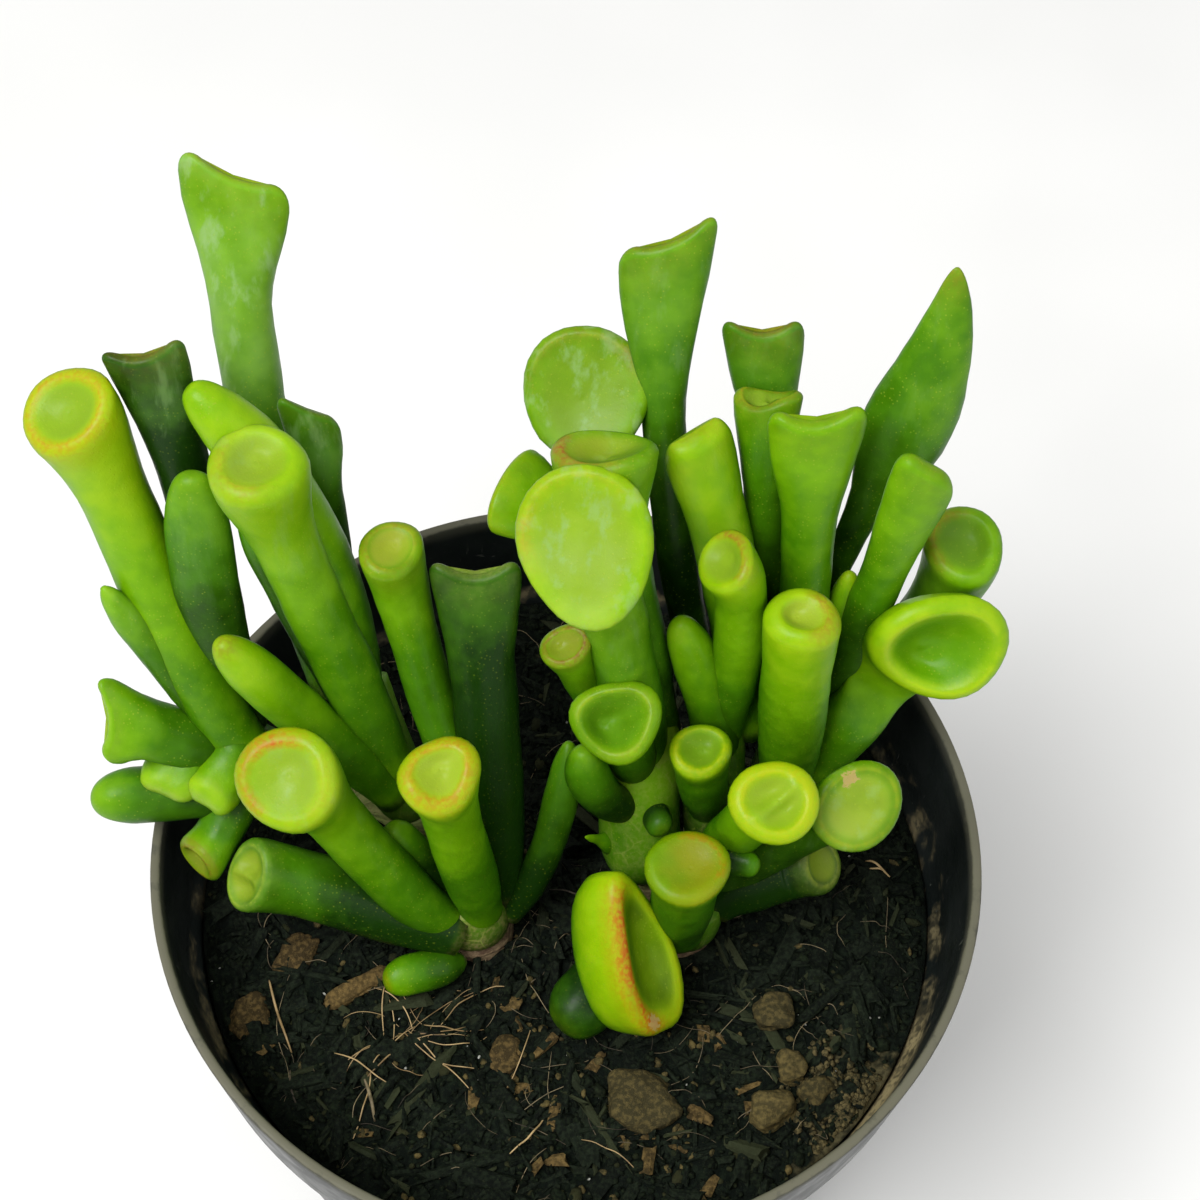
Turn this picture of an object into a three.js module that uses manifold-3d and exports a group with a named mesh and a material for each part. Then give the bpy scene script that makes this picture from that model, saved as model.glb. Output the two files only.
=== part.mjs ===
import * as THREE from 'three';
import { mergeVertices } from 'three/addons/utils/BufferGeometryUtils.js';
import Module from 'manifold-3d';

const wasm = await Module();
wasm.setup();

// A trumpet jade, Crassula ovata 'Gollum': two rooted plants in a 10 cm nursery pot.
// Millimetres, +Z up. Heights in the source are measured from the plane of the pot's rim,
// and the whole group is lifted by the pot's height, so that the pot stands on z = 0.
// The front of the pot is towards -Y.

// ---------- driving dimensions ----------

const GAP = 0.3;                 // clearance between pieces that touch

const POT = {
  height: 90,
  rimRadius: 50,
  baseRadius: 35,
  wall: 1.2,
  collar: 15,                    // height of the band under the rim
  collarTaper: 1.9,              // how far the band narrows towards its lower edge
  collarStep: 1.1,               // how far the wall steps in below the band
  edge: 0.5,                     // rounding of the rim and of the foot
  sides: 42,
};

const DRAIN = { count: 6, radius: 3.5, ring: 25, sides: 12 };

const SOIL = {
  level: -15,
  waves: 0.6,                    // unevenness of the surface
  edgeDrop: 1,                   // how far it has sunk along the wall
  rings: 8,
  holeDepth: 12,                 // of the holes that the stems stand in
  holeSides: 16,
};

// Share of a loose piece's width that its swellings and dents take, and how much of its height
// its middle stands above the mix.
const LUMP = { swelling: 0.09, dents: 0.06, raised: 0.12 };

const LEAF = {
  sides: 10,
  broad: 5.1,                    // a leaf with a half width past this has more sides
  broadSides: 12,
  slim: 2.9,                     // and one below this has fewer
  slimSides: 8,
};

// ---------- solids ----------

// A closed geometry without seams, as a manifold solid.
function solid(geometry) {
  const plain = geometry.clone();
  plain.deleteAttribute('normal');
  plain.deleteAttribute('uv');
  const merged = mergeVertices(plain, 1e-4);
  const keep = [];
  const index = merged.index.array;
  for (let i = 0; i < index.length; i += 3) {
    const [a, b, c] = [index[i], index[i + 1], index[i + 2]];
    if (a !== b && b !== c && c !== a) keep.push(a, b, c);
  }
  const vertProperties = new Float32Array(merged.attributes.position.array);
  const mesh = new wasm.Mesh({ numProp: 3, vertProperties, triVerts: new Uint32Array(keep) });
  return new wasm.Manifold(mesh);
}

function geometryOf(manifold) {
  const mesh = manifold.getMesh();
  const geometry = new THREE.BufferGeometry();
  geometry.setAttribute('position', new THREE.BufferAttribute(mesh.vertProperties, 3));
  geometry.setIndex(new THREE.BufferAttribute(mesh.triVerts, 1));
  geometry.computeVertexNormals();
  return geometry;
}

function union(solids) {
  return solids.reduce((all, one) => all.add(one));
}

// The body itself, without the slivers that rounding leaves where leaves meet.
function body(manifold) {
  return manifold.decompose().reduce((most, next) => (next.volume() > most.volume() ? next : most));
}

// Turns a lathe profile, radius and height pairs, about the Z axis.
function turned(profile, sides) {
  const points = profile.map(([radius, height]) => new THREE.Vector2(radius, height));
  const geometry = new THREE.LatheGeometry(points, sides);
  geometry.rotateX(Math.PI / 2);
  return geometry;
}

// ---------- limbs: every leaf and stem is a row of rings along a curved centre line ----------

const vector = (xyz) => new THREE.Vector3(...xyz);

function heading([azimuth, rise]) {
  const a = THREE.MathUtils.degToRad(azimuth);
  const r = THREE.MathUtils.degToRad(rise);
  return new THREE.Vector3(Math.cos(a) * Math.cos(r), Math.sin(a) * Math.cos(r), Math.sin(r));
}

// The rings are { at, wide, thick, lift(cos, sin) }: the place along the line, from 0 to 1, the
// two half widths, and a shift along the line that shapes horns and slants. The first and the
// last ring are closed to a point.
function limb(line, across, rings, sides) {
  const profile = rings.map((ring, row) => new THREE.Vector2(1, row));
  profile.unshift(new THREE.Vector2(0, 0));
  profile.push(new THREE.Vector2(0, rings.length - 1));
  const geometry = new THREE.LatheGeometry(profile, sides);
  const position = geometry.attributes.position;
  const frames = rings.map((ring) => {
    const along = line.getTangent(Math.min(ring.at, 1));
    const x = across.clone().addScaledVector(along, -across.dot(along)).normalize();
    const y = new THREE.Vector3().crossVectors(x, along);
    return { centre: line.getPoint(Math.min(ring.at, 1)), along, x, y };
  });
  for (let i = 0; i < position.count; i += 1) {
    const ring = rings[Math.round(position.getY(i))];
    const frame = frames[Math.round(position.getY(i))];
    const cos = position.getX(i);
    const sin = position.getZ(i);
    const pole = Math.hypot(cos, sin) < 0.5;
    const lift = (pole ? ring.poleLift ?? 0 : ring.lift?.(cos, sin) ?? 0);
    const point = frame.centre.clone();
    point.addScaledVector(frame.x, ring.wide * cos);
    point.addScaledVector(frame.y, ring.thick * sin);
    point.addScaledVector(frame.along, lift);
    position.setXYZ(i, point.x, point.y, point.z);
  }
  const made = solid(geometry);
  if (made.volume() > 0) return made;
  geometry.index.array.reverse();
  return solid(geometry);
}

// ---------- leaves ----------

const mix = THREE.MathUtils.lerp;
const ease = THREE.MathUtils.smoothstep;

// foot and tip are points, face is the way the cup or the flat side looks, as azimuth and rise.
const trumpet = (foot, tip, form) => ({ kind: 'cup', foot, tip, horn: 0, slant: 0, ...form });
const notched = (foot, tip, form) => ({ kind: 'notch', foot, tip, horn: 1.5, slant: 0, ...form });
const finger = (foot, tip, form) => ({ kind: 'round', foot, tip, face: [-90, 40], ...form });

function centreLine({ kind, foot, tip, face, bow = [0, 0, 0], neck = 0.25 }) {
  const start = vector(foot);
  const end = vector(tip);
  const length = start.distanceTo(end);
  const first = start.clone().lerp(end, 0.35).add(vector(bow));
  const second = kind === 'cup'
    ? end.clone().addScaledVector(heading(face), -neck * length)
    : start.clone().lerp(end, 0.7).add(vector(bow));
  return new THREE.CubicBezierCurve3(start, first, second, end);
}

function wideAxis({ foot, tip, face, wide }) {
  if (wide) return heading(wide);
  const growth = vector(tip).sub(vector(foot)).normalize();
  const across = new THREE.Vector3().crossVectors(growth, heading(face));
  return across.length() > 0.15 ? across.normalize() : new THREE.Vector3(1, 0, 0);
}

// A stalk that opens into a cup with a rounded lip, or into a notch between two horns.
function openRings({ stalk, cup, horn, slant, flat = 0.92, hollow = 0.32, flare = 0.68 }) {
  const [wide, tall] = cup;
  const depth = Math.min(wide, tall);
  const shift = (share) => (cos) => share * (horn * cos * cos + slant * cos);
  const rings = [0, 0.15, 0.38, 0.6, 0.76, 0.88].map((at) => {
    const body = stalk * mix(0.8, 1, ease(at, 0, 0.35));
    const open = ease(at, flare, 1.02) ** 1.2;
    return {
      at,
      wide: mix(body, wide, open),
      thick: mix(body * flat, tall, open),
      lift: shift(0.6 * ease(at, 0.7, 1)),
    };
  });
  const brim = [[1, -0.2], [0.87, 0], [0.68, -0.1], [0.34, -0.8 * hollow]];
  for (const [share, drop] of brim) {
    const follow = shift(share ** 0.5);
    rings.push({
      at: 1,
      wide: wide * share,
      thick: tall * share,
      lift: (cos) => depth * drop + follow(cos),
    });
  }
  rings.at(-1).poleLift = -hollow * depth;
  return rings;
}

// A stalk that ends in a round or pointed tip, or in a crest of a half width and an edge.
// belly is where it is widest.
function roundRings(form) {
  const { stalk, end = 1, flat = 0.9, belly = 0.7, point = 0.5, crest = 0.02, edge = 0.02 } = form;
  return [0, 0.15, 0.4, 0.65, 0.8, 0.9, 0.97].map((at) => {
    const body = stalk * mix(0.8, mix(1, end, ease(at, 0.2, belly)), ease(at, 0, 0.3));
    const close = at <= belly ? 1 : (1 - ((at - belly) / (1 - belly)) ** 2) ** point;
    return { at, wide: Math.max(body * close, crest), thick: body * flat * close };
  }).concat([{ at: 1, wide: crest, thick: edge }]);
}

function leaf(form) {
  const rings = form.kind === 'round' ? roundRings(form) : openRings(form);
  const breadth = Math.max(form.stalk, ...(form.cup ?? [0]));
  const sides = breadth > LEAF.broad ? LEAF.broadSides : LEAF.sides;
  return limb(centreLine(form), wideAxis(form), rings, breadth < LEAF.slim ? LEAF.slimSides : sides);
}

// ---------- stems ----------

// A woody or green stem through points with a radius each, [x, y, z, radius].
function stem(points, sides = LEAF.sides) {
  const line = new THREE.CatmullRomCurve3(points.map(([x, y, z]) => new THREE.Vector3(x, y, z)));
  const last = points.length - 1;
  const rings = points.map(([, , , radius], i) => ({ at: i / last, wide: radius, thick: radius }));
  return limb(line, new THREE.Vector3(1, 0.01, 0.02), rings, sides);
}

// ---------- the plants ----------

// Each stump stands in a hole, [x, y, radius], and is a row of limbs, each of [x, y, z, radius].
// A shoot grows on a stump. Its own stem has the same rows, and its leaves share its body.
const STUMPS = {
  left_stem: {
    hole: [-11, -5, 5],
    limbs: [
      [[-11, -5, -26, 3.6], [-11, -5, -20, 4.2], [-11, -5, -15, 4.6], [-11.5, -5, -12.5, 4.2]],
      [[-11, -5, -14, 2.6], [-13, -1, -10, 2.8], [-16, 3, -5, 2.8], [-19, 4, 0, 2.8]],
      [[-16, 3, -5, 2.4], [-23, 6, -2, 2.7], [-30, 6, 2, 2.7], [-34, 6, 5, 2.7]],
    ],
  },
  right_stem: {
    hole: [14, -3, 5.2],
    limbs: [
      [[14, -3, -26, 3.8], [14, -3, -20, 4.4], [14, -3, -15, 4.9], [14, -4, -12.5, 4.4]],
      [[13, -3, -14, 2.6], [11, 0, -11, 3], [9.5, 1, -8, 3]],
      [[15, -3, -14, 2.6], [16, 2, -9, 2.8], [17, 4, -4, 2.8]],
      [[15, -2, -13.5, 2.6], [20, 4, -9, 2.8], [24, 8, -4, 2.8]],
    ],
  },
};

const SHOOTS = {
  left_front_shoot: {
    on: 'left_stem',
    stems: [[[-11.5, -5, -12.5, 4.2], [-11.5, -5, -10, 5], [-12, -5, -6, 3.2]]],
    leaves: [
      trumpet([-14, -7, -9], [-31, -8, 26],
        { face: [-105, 50], stalk: 3.7, cup: [6, 5.8], bow: [0, -2, -4] }),
      trumpet([-13, -8, -9.5], [-38, -8.5, 2],
        { face: [-145, 38], stalk: 4.2, cup: [4.4, 3.6], hollow: 0.5 }),
      finger([-11, -9, -10.5], [-21, -15.5, -9.5], { stalk: 2.6 }),
      trumpet([-10, -6, -9], [-14, -7, 28], { face: [-90, 84], stalk: 4.1, cup: [4.7, 4.4] }),
      trumpet([-9, -3, -8], [-20, 12, 43], { face: [-90, 82], stalk: 2.9, cup: [3.7, 3.5] }),
      notched([-8, -3, -9], [-11, 12, 38.5],
        { face: [-90, 25], stalk: 3.9, cup: [5.2, 2.8], horn: 1.8 }),
      finger([-7, -5, -10], [-0.6, 5.8, 13.6], { stalk: 2.5, bow: [1.5, -2, -2.5], point: 0.4 }),
      finger([-14, -4, -6], [-21, -2.5, 6.5], { stalk: 2.4, point: 0.4 }),
    ],
  },
  left_back_shoot: {
    on: 'left_stem',
    stems: [[[-19, 4, 0, 2.8], [-21, 5, 4, 3.6], [-23, 8, 9, 3.6], [-25, 13, 14, 3]]],
    leaves: [
      finger([-21, 3, 4], [-38.5, 3.5, 36], { stalk: 3.6, point: 0.4 }),
      trumpet([-21, 5, 6], [-33, 12, 56],
        { face: [-105, 58], stalk: 3.5, cup: [5.3, 4.8], neck: 0.15 }),
      finger([-23, 7, 9], [-37, 14, 49], { stalk: 2.6, bow: [-1, 0, 0] }),
      finger([-25, 9, 12], [-40.5, 19, 60], { stalk: 2.8, bow: [5, 0, 6], point: 0.4 }),
      notched([-28.5, 13, 12], [-37, 40, 69],
        { face: [-90, 20], stalk: 3.4, cup: [5.4, 2.5], horn: 1, slant: -2.6, bow: [-3.5, 0, 0],
          flare: 0.74 }),
      notched([-26.5, 13, 12], [-30, 23, 52],
        { face: [-70, 20], stalk: 2.8, cup: [3.8, 2.4], horn: 0.8, slant: -2.6, bow: [-1, 0, 0] }),
    ],
  },
  left_outer_shoot: {
    on: 'left_stem',
    stems: [[[-34, 6, 5, 2.7], [-37, 6, 7, 3.8], [-41, 6, 11, 3.4]]],
    leaves: [
      trumpet([-37, 4, 9], [-54, 18, 57],
        { face: [-130, 60], stalk: 4.6, cup: [5.4, 5], neck: 0.15, bow: [-3, 0, -2] }),
      notched([-40, 10, 12], [-45.5, 22, 61.5],
        { face: [-90, 20], stalk: 3, cup: [4.6, 2.4], horn: 1.4, bow: [1, 2, 0] }),
      trumpet([-38.5, 3, 6], [-44, -6, 1],
        { face: [-130, 5], stalk: 2.9, cup: [3.1, 2.8], neck: 0.3 }),
      finger([-39, 9, 11], [-42, 20.5, 44], { stalk: 4, flat: 0.75, point: 0.35, bow: [-1.5, 0, 0] }),
      finger([-38, 3, 5], [-56, -1.5, 8.5], { stalk: 3.6 }),
      finger([-41, 6, 12], [-52, 10, 36], { stalk: 2 }),
      notched([-40, 5, 10], [-53, 3, 19],
        { face: [-90, 50], stalk: 3.6, cup: [4.6, 2.4], slant: 2 }),
      finger([-42, 8, 13], [-46.5, -1.5, 7.5], { stalk: 2.7, point: 0.6 }),
      finger([-38.5, 7, 12], [-41.5, -2.5, 8.5], { stalk: 2.6, point: 0.4 }),
    ],
  },
  right_front_shoot: {
    on: 'right_stem',
    stems: [[[14, -4, -12.5, 4.4], [15, -5, -9.5, 5], [16, -5, -6, 3]]],
    leaves: [
      trumpet([17, -4, -8], [23, -7, 24], { face: [-90, 66], stalk: 3.4, cup: [5, 4.8] }),
      trumpet([18, -4, -8], [33, -4, 18], { face: [-70, 52], stalk: 4, cup: [5.2, 5.5] }),
      trumpet([14, -7, -9], [14, -10, 13], { face: [-90, 75], stalk: 4, cup: [5, 4.7] }),
      finger([14, -8, -10.5], [7.6, -15.2, 0.5],
        { stalk: 5, end: 1.9, flat: 0.72, wide: [-71, -26], bow: [-3, -2, -0.5], belly: 0.6,
          point: 0.62, crest: 6.6, edge: 0.6 }),
      finger([11, -7, -10.5], [0.5, -19.5, -11], { stalk: 3.6, point: 0.4 }),
      trumpet([18, -4, -8.5], [30, -2, -2.5],
        { face: [-30, 45], stalk: 4.2, cup: [4.2, 4], bow: [0, 1, 2] }),
      finger([17, -6, -8], [21.3, -8, 13], { stalk: 2.1 }),
    ],
  },
  right_left_shoot: {
    on: 'right_stem',
    stems: [[[9.5, 1, -8, 3], [9, 2, -5, 4.8], [8.5, 5, 1, 5], [9, 9, 8, 4.4], [9, 12, 11, 3]]],
    leaves: [
      trumpet([9, 13, 9], [0, 28.5, 51.5], { face: [-95, 45], stalk: 3.6, cup: [6.4, 6.8] }),
      trumpet([10, 11, 9], [2.7, 18, 53], { face: [90, 68], stalk: 3.8, cup: [5.8, 5] }),
      trumpet([9, 8, 8], [1, 8, 50],
        { face: [-100, 42], stalk: 4.1, cup: [9, 7.4], wide: [90, 48], hollow: 0.15 }),
      trumpet([8, 12, 10], [-7, 19, 44.5], { face: [175, 20], stalk: 3, cup: [4.6, 4.5] }),
      trumpet([8, 7, 5], [5, 2, 25], { face: [-110, 55], stalk: 3.2, cup: [5, 4.7] }),
      finger([8, 4, 2], [1.6, 0.4, 19.7], { stalk: 3.2, bow: [-1, -1, -3], point: 0.4 }),
      trumpet([7, 9, 6], [-1, 8, 31], { face: [-100, 70], stalk: 2.6, cup: [3, 2.7] }),
      finger([7, 3, -2], [2, 0, 3], { stalk: 1.3, point: 0.8 }),
    ],
  },
  right_middle_shoot: {
    on: 'right_stem',
    stems: [[[17, 4, -4, 2.8], [17.5, 6, 0, 3.7], [17.6, 9.5, 7, 3.4], [17.5, 14, 11, 3]]],
    leaves: [
      notched([16, 15, 10], [8.4, 35, 67.5],
        { face: [-90, 25], stalk: 2.5, cup: [5, 2.8], horn: 0.6, slant: 2.4, flare: 0.6,
          bow: [-2.2, 0, 0] }),
      trumpet([18, 10.5, 8], [15.8, 11.5, 43.5],
        { face: [-165, 46], stalk: 3.2, cup: [4, 3.6], neck: 0.2, bow: [1, 0, 0] }),
      notched([19, 13, 9], [12.7, 22, 50.8],
        { face: [-60, 30], stalk: 3.5, cup: [3.5, 2.9], horn: 1.1, slant: 1.2 }),
      finger([17.5, 8, 5], [14, 13, 30], { stalk: 3, bow: [1.5, 0, -2], point: 0.4 }),
      trumpet([17, 5, 0], [15, 3, 18], { face: [-90, 85], stalk: 3.1, cup: [3.7, 3.4] }),
    ],
  },
  right_back_shoot: {
    on: 'right_stem',
    stems: [[[24, 8, -4, 2.8], [26, 11, 1, 3.8], [29, 13, 6, 3.8], [28, 17, 10, 3]]],
    leaves: [
      trumpet([26.2, 8, 3], [25, 8, 39], { face: [-90, 88], stalk: 4.4, cup: [4.6, 4.3] }),
      notched([26, 17, 9], [18.8, 28, 62],
        { face: [-90, 20], stalk: 2.9, cup: [4.3, 2.5], horn: 1.6, slant: -0.5 }),
      notched([26, 15, 8], [20, 23, 56.5],
        { face: [-90, 20], stalk: 2.5, cup: [3.5, 2.3], horn: 1.2, slant: -0.6 }),
      notched([27, 13, 7], [25, 22, 54.8],
        { face: [-90, 20], stalk: 3, cup: [5.1, 2.9], horn: 1.6, slant: 0.5, flare: 0.6 }),
      finger([29, 17, 9], [39, 31, 70],
        { stalk: 2.6, end: 1.75, flat: 0.6, belly: 0.55, point: 0.6, bow: [1, 0, -1] }),
      finger([30, 14, 7], [37, 18, 54], { stalk: 2.7, end: 1.5, point: 0.35, belly: 0.8 }),
      trumpet([31, 15, 7], [43.2, 19.5, 36.5],
        { face: [-110, 50], stalk: 3.6, cup: [5.3, 4.8], bow: [1, 2, 0] }),
      trumpet([29, 10, 3], [41.3, 10, 30.2],
        { face: [-113, 48], stalk: 4.2, cup: [8.1, 6.8], neck: 0.36, hollow: 0.55 }),
      finger([30, 13, 7], [31, 18, 33], { stalk: 2.1 }),
    ],
  },
};

// ---------- pot ----------

const underCollar = POT.rimRadius - POT.collarTaper - POT.collarStep;
const floorTop = -POT.height + POT.wall;
const innerFoot = POT.baseRadius - POT.wall;
const innerShoulder = underCollar - POT.wall;
const shoulder = -POT.collar - POT.wall;

function potSolid() {
  const { height, rimRadius, baseRadius, wall, collar, collarTaper, edge } = POT;
  const profile = [
    [0, -height],
    [baseRadius - edge, -height],
    [baseRadius, -height + edge],
    [underCollar, -collar],
    [rimRadius - collarTaper, -collar],
    [rimRadius, -edge],
    [rimRadius - edge / 2, 0],
    [rimRadius - wall + edge / 2, 0],
    [rimRadius - wall, -edge],
    [rimRadius - collarTaper - wall, shoulder + collarTaper],
    [innerShoulder, shoulder],
    [innerFoot, floorTop],
    [0, floorTop],
  ];
  let pot = solid(turned(profile, POT.sides));
  for (let i = 0; i < DRAIN.count; i += 1) {
    const angle = ((i + 0.5) / DRAIN.count) * 2 * Math.PI;
    const hole = new THREE.CylinderGeometry(DRAIN.radius, DRAIN.radius, 6 * wall, DRAIN.sides);
    hole.rotateX(Math.PI / 2);
    hole.translate(DRAIN.ring * Math.cos(angle), DRAIN.ring * Math.sin(angle), -height);
    pot = pot.subtract(solid(hole));
  }
  return pot;
}

// ---------- soil ----------

const ground = (x, y) => SOIL.level + SOIL.waves
  * (Math.sin(0.55 * x + 0.3) * Math.cos(0.47 * y) + 0.6 * Math.sin(0.9 * y - 0.4 * x));

function soilSolid(stumps, loose) {
  const edgeLevel = SOIL.level - SOIL.edgeDrop;
  const slope = (innerShoulder - innerFoot) / (shoulder - floorTop);
  const topRadius = innerShoulder - (shoulder - edgeLevel) * slope - GAP;
  const bottomRadius = innerFoot - GAP;
  const profile = [[0, floorTop + GAP], [bottomRadius, floorTop + GAP], [topRadius, edgeLevel]];
  for (let ring = SOIL.rings - 1; ring >= 0; ring -= 1) {
    profile.push([(topRadius * ring) / SOIL.rings, SOIL.level]);
  }
  const geometry = turned(profile, POT.sides);
  const position = geometry.attributes.position;
  for (let i = 0; i < position.count; i += 1) {
    if (position.getZ(i) > (edgeLevel + SOIL.level) / 2) {
      position.setZ(i, ground(position.getX(i), position.getY(i)));
    }
  }
  let soil = solid(geometry);
  for (const { hole: [x, y, radius] } of Object.values(stumps)) {
    const hole = new THREE.CylinderGeometry(radius, radius, 2 * SOIL.holeDepth, SOIL.holeSides);
    hole.rotateX(Math.PI / 2);
    hole.translate(x, y, SOIL.level);
    soil = soil.subtract(solid(hole));
  }
  for (const piece of Object.values(loose)) {
    soil = soil.subtract(loosePiece(piece, GAP));
  }
  return soil;
}

// ---------- loose pieces in the mix ----------

// at is the centre on the ground, size the three full widths, turn the heading of the longest.
const LOOSE = {
  stone_1: { at: [10, -27], size: [9.5, 7.5, 4.5], turn: -15, look: 'stone' },
  stone_2: { at: [25.5, -27.5], size: [6, 5, 4], turn: 30, look: 'stone' },
  stone_3: { at: [28, -22], size: [4.6, 4.2, 3.4], turn: 80, look: 'stone' },
  stone_4: { at: [31, -24.5], size: [4.4, 3.6, 3], turn: 40, look: 'stone' },
  stone_5: { at: [26, -15], size: [5.2, 5, 3.6], turn: 0, look: 'stone' },
  chip_1: { at: [-33, -9.5], size: [6.5, 5, 2.2], turn: 60, look: 'bark' },
  chip_2: { at: [-38, -17.5], size: [6, 5, 2.2], turn: 100, look: 'bark' },
  chip_3: { at: [-6.5, -21.5], size: [5, 4, 2], turn: 70, look: 'bark' },
  stick: { at: [-25.5, -13.5], size: [8.5, 2.4, 1.8], turn: 28, look: 'bark' },
};

// A broken lump, lying flat and sunk a little into the mix.
function loosePiece({ at: [x, y], size, turn }, grow = 0) {
  const lump = new THREE.IcosahedronGeometry(1, 1);
  const corner = lump.attributes.position;
  for (let i = 0; i < corner.count; i += 1) {
    const [a, b, c] = [corner.getX(i), corner.getY(i), corner.getZ(i)];
    const swollen = LUMP.swelling * Math.sin(5 * a + 3 * b + x);
    const dented = LUMP.dents * Math.cos(4 * c + y);
    const span = size.map((width) => width * (0.5 + swollen + dented) + grow);
    corner.setXYZ(i, a * span[0], b * span[1], c * span[2]);
  }
  lump.rotateZ(THREE.MathUtils.degToRad(turn));
  lump.translate(x, y, ground(x, y) + LUMP.raised * size[2]);
  return solid(lump);
}

// ---------- assembly ----------

const LOOKS = {
  pot: { color: 0x0d1512, roughness: 0.45 },
  soil: { color: 0x17130f, roughness: 0.95 },
  bark: { color: 0x6b5236, roughness: 0.8 },
  stone: { color: 0x5c5448, roughness: 0.85 },
  leaf: { color: 0x7fb010, roughness: 0.35 },
};

const group = new THREE.Group();
group.position.z = POT.height;

function place(name, manifold, look) {
  const mesh = new THREE.Mesh(geometryOf(manifold), new THREE.MeshStandardMaterial(LOOKS[look]));
  mesh.name = name;
  group.add(mesh);
}

place('pot', potSolid(), 'pot');
place('soil', soilSolid(STUMPS, LOOSE), 'soil');
for (const [name, piece] of Object.entries(LOOSE)) {
  place(name, loosePiece(piece), piece.look);
}
const grown = {};
for (const [name, { limbs }] of Object.entries(STUMPS)) {
  grown[name] = limbs;
  place(name, union(limbs.map((points) => stem(points))), 'bark');
}
for (const [name, { on, stems, leaves }] of Object.entries(SHOOTS)) {
  const grownOver = grown[on].map((points) => (
    stem(points.map(([x, y, z, radius]) => [x, y, z, radius + GAP]))
  ));
  const parts = [...stems.map((points) => stem(points)), ...leaves.map(leaf)];
  place(name, body(union(parts).subtract(union(grownOver))), 'leaf');
}

export default group;
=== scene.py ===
"""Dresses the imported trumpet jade: two plants with cupped, fleshy leaves in a black nursery pot."""

import logging
import math
import random
from dataclasses import dataclass
from enum import Enum
from typing import Callable, Iterable, NamedTuple, Optional, Sequence

import bmesh
import bpy
from bmesh.types import BMEdge, BMesh, BMVert
from bpy.types import Material, Mesh, Node, NodeSocket, NodeTree, Object
from mathutils import Matrix, Vector, noise

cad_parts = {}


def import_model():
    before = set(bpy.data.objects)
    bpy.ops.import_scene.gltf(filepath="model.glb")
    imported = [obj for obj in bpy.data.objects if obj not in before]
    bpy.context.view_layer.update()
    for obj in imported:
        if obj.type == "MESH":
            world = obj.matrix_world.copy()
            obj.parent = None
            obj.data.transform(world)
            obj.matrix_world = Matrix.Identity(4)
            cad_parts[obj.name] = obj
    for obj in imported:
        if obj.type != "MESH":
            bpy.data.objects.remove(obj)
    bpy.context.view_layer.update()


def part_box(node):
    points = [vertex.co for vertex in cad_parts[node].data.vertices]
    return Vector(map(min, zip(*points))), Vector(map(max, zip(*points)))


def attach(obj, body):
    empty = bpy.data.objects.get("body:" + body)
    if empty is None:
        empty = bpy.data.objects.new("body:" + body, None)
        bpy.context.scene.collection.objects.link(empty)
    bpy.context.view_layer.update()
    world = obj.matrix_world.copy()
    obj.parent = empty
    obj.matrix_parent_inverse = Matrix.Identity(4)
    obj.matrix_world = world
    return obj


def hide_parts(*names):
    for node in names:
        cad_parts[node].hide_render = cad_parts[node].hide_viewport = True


log = logging.getLogger("trumpet_jade")

MM = 0.001                       # sizes are written in millimetres, as in the part's source
RIM_HEIGHT = 90.0                # the rim's plane, from which places are measured, above the foot
TURN = 2 * math.pi

Point = tuple[float, float, float]
Pair = tuple[float, float]
Side = tuple[float, float]       # an amount, and the angle round a cup where it is greatest
Joint = tuple[float, float, float, float]    # a point and a radius
Spread = tuple[float, float, float]          # a place on the mix and how far to scatter round it
Colour = tuple[float, float, float, float]
Round = Callable[[float, float], float]      # a value by the cosine and sine of a ring's side
Surface = Callable[[Vector, Vector], Vector]     # moves a point, given how far it stands out


# ---------- small helpers ----------


def mix(low: float, high: float, share: float) -> float:
    """Returns the value a share of the way from low to high."""
    return low + (high - low) * share


def held(value: float) -> float:
    """Returns the value, held between 0 and 1."""
    return min(max(value, 0.0), 1.0)


def ease(value: float, start: float, end: float) -> float:
    """Returns a smooth step from 0 at start to 1 at end."""
    share = held((value - start) / (end - start))
    return share * share * (3.0 - 2.0 * share)


def heading(azimuth: float, rise: float) -> Vector:
    """Returns the unit vector at an azimuth and a rise, both in degrees."""
    a, r = math.radians(azimuth), math.radians(rise)
    return Vector((math.cos(a) * math.cos(r), math.sin(a) * math.cos(r), math.sin(r)))


def towards(cos: float, sin: float, degrees: float) -> float:
    """Returns how far one side of a ring looks to an angle round it, from -1 to 1."""
    angle = math.radians(degrees)
    return cos * math.cos(angle) + sin * math.sin(angle)


def srgb(red: int, green: int, blue: int) -> Colour:
    """Returns a linear colour with full alpha from 8-bit screen values."""
    shares = [value / 255.0 for value in (red, green, blue)]
    linear = [share / 12.92 if share <= 0.04045 else ((share + 0.055) / 1.055) ** 2.4 for share in shares]
    return (*linear, 1.0)


def through(points: Sequence[Pair], at: float) -> float:
    """Reads a smooth curve through points at one place.

    Args:
        points: place and value pairs, in rising order of place.
        at: the place to read.

    Returns:
        The value there, held at the ends.
    """
    at = min(max(at, points[0][0]), points[-1][0])
    index = next((i for i in range(len(points) - 1) if at <= points[i + 1][0]), len(points) - 2)

    def slope(place: int) -> float:
        """Returns the slope of the curve at one of its points."""
        before, after = points[max(place - 1, 0)], points[min(place + 1, len(points) - 1)]
        return (after[1] - before[1]) / (after[0] - before[0])

    (left, low), (right, high) = points[index], points[index + 1]
    width = right - left
    t = (at - left) / width
    return ((2 * t ** 3 - 3 * t * t + 1) * low + (t ** 3 - 2 * t * t + t) * width * slope(index)
            + (3 * t * t - 2 * t ** 3) * high + (t ** 3 - t * t) * width * slope(index + 1))


# ---------- meshes and pieces ----------


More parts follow.
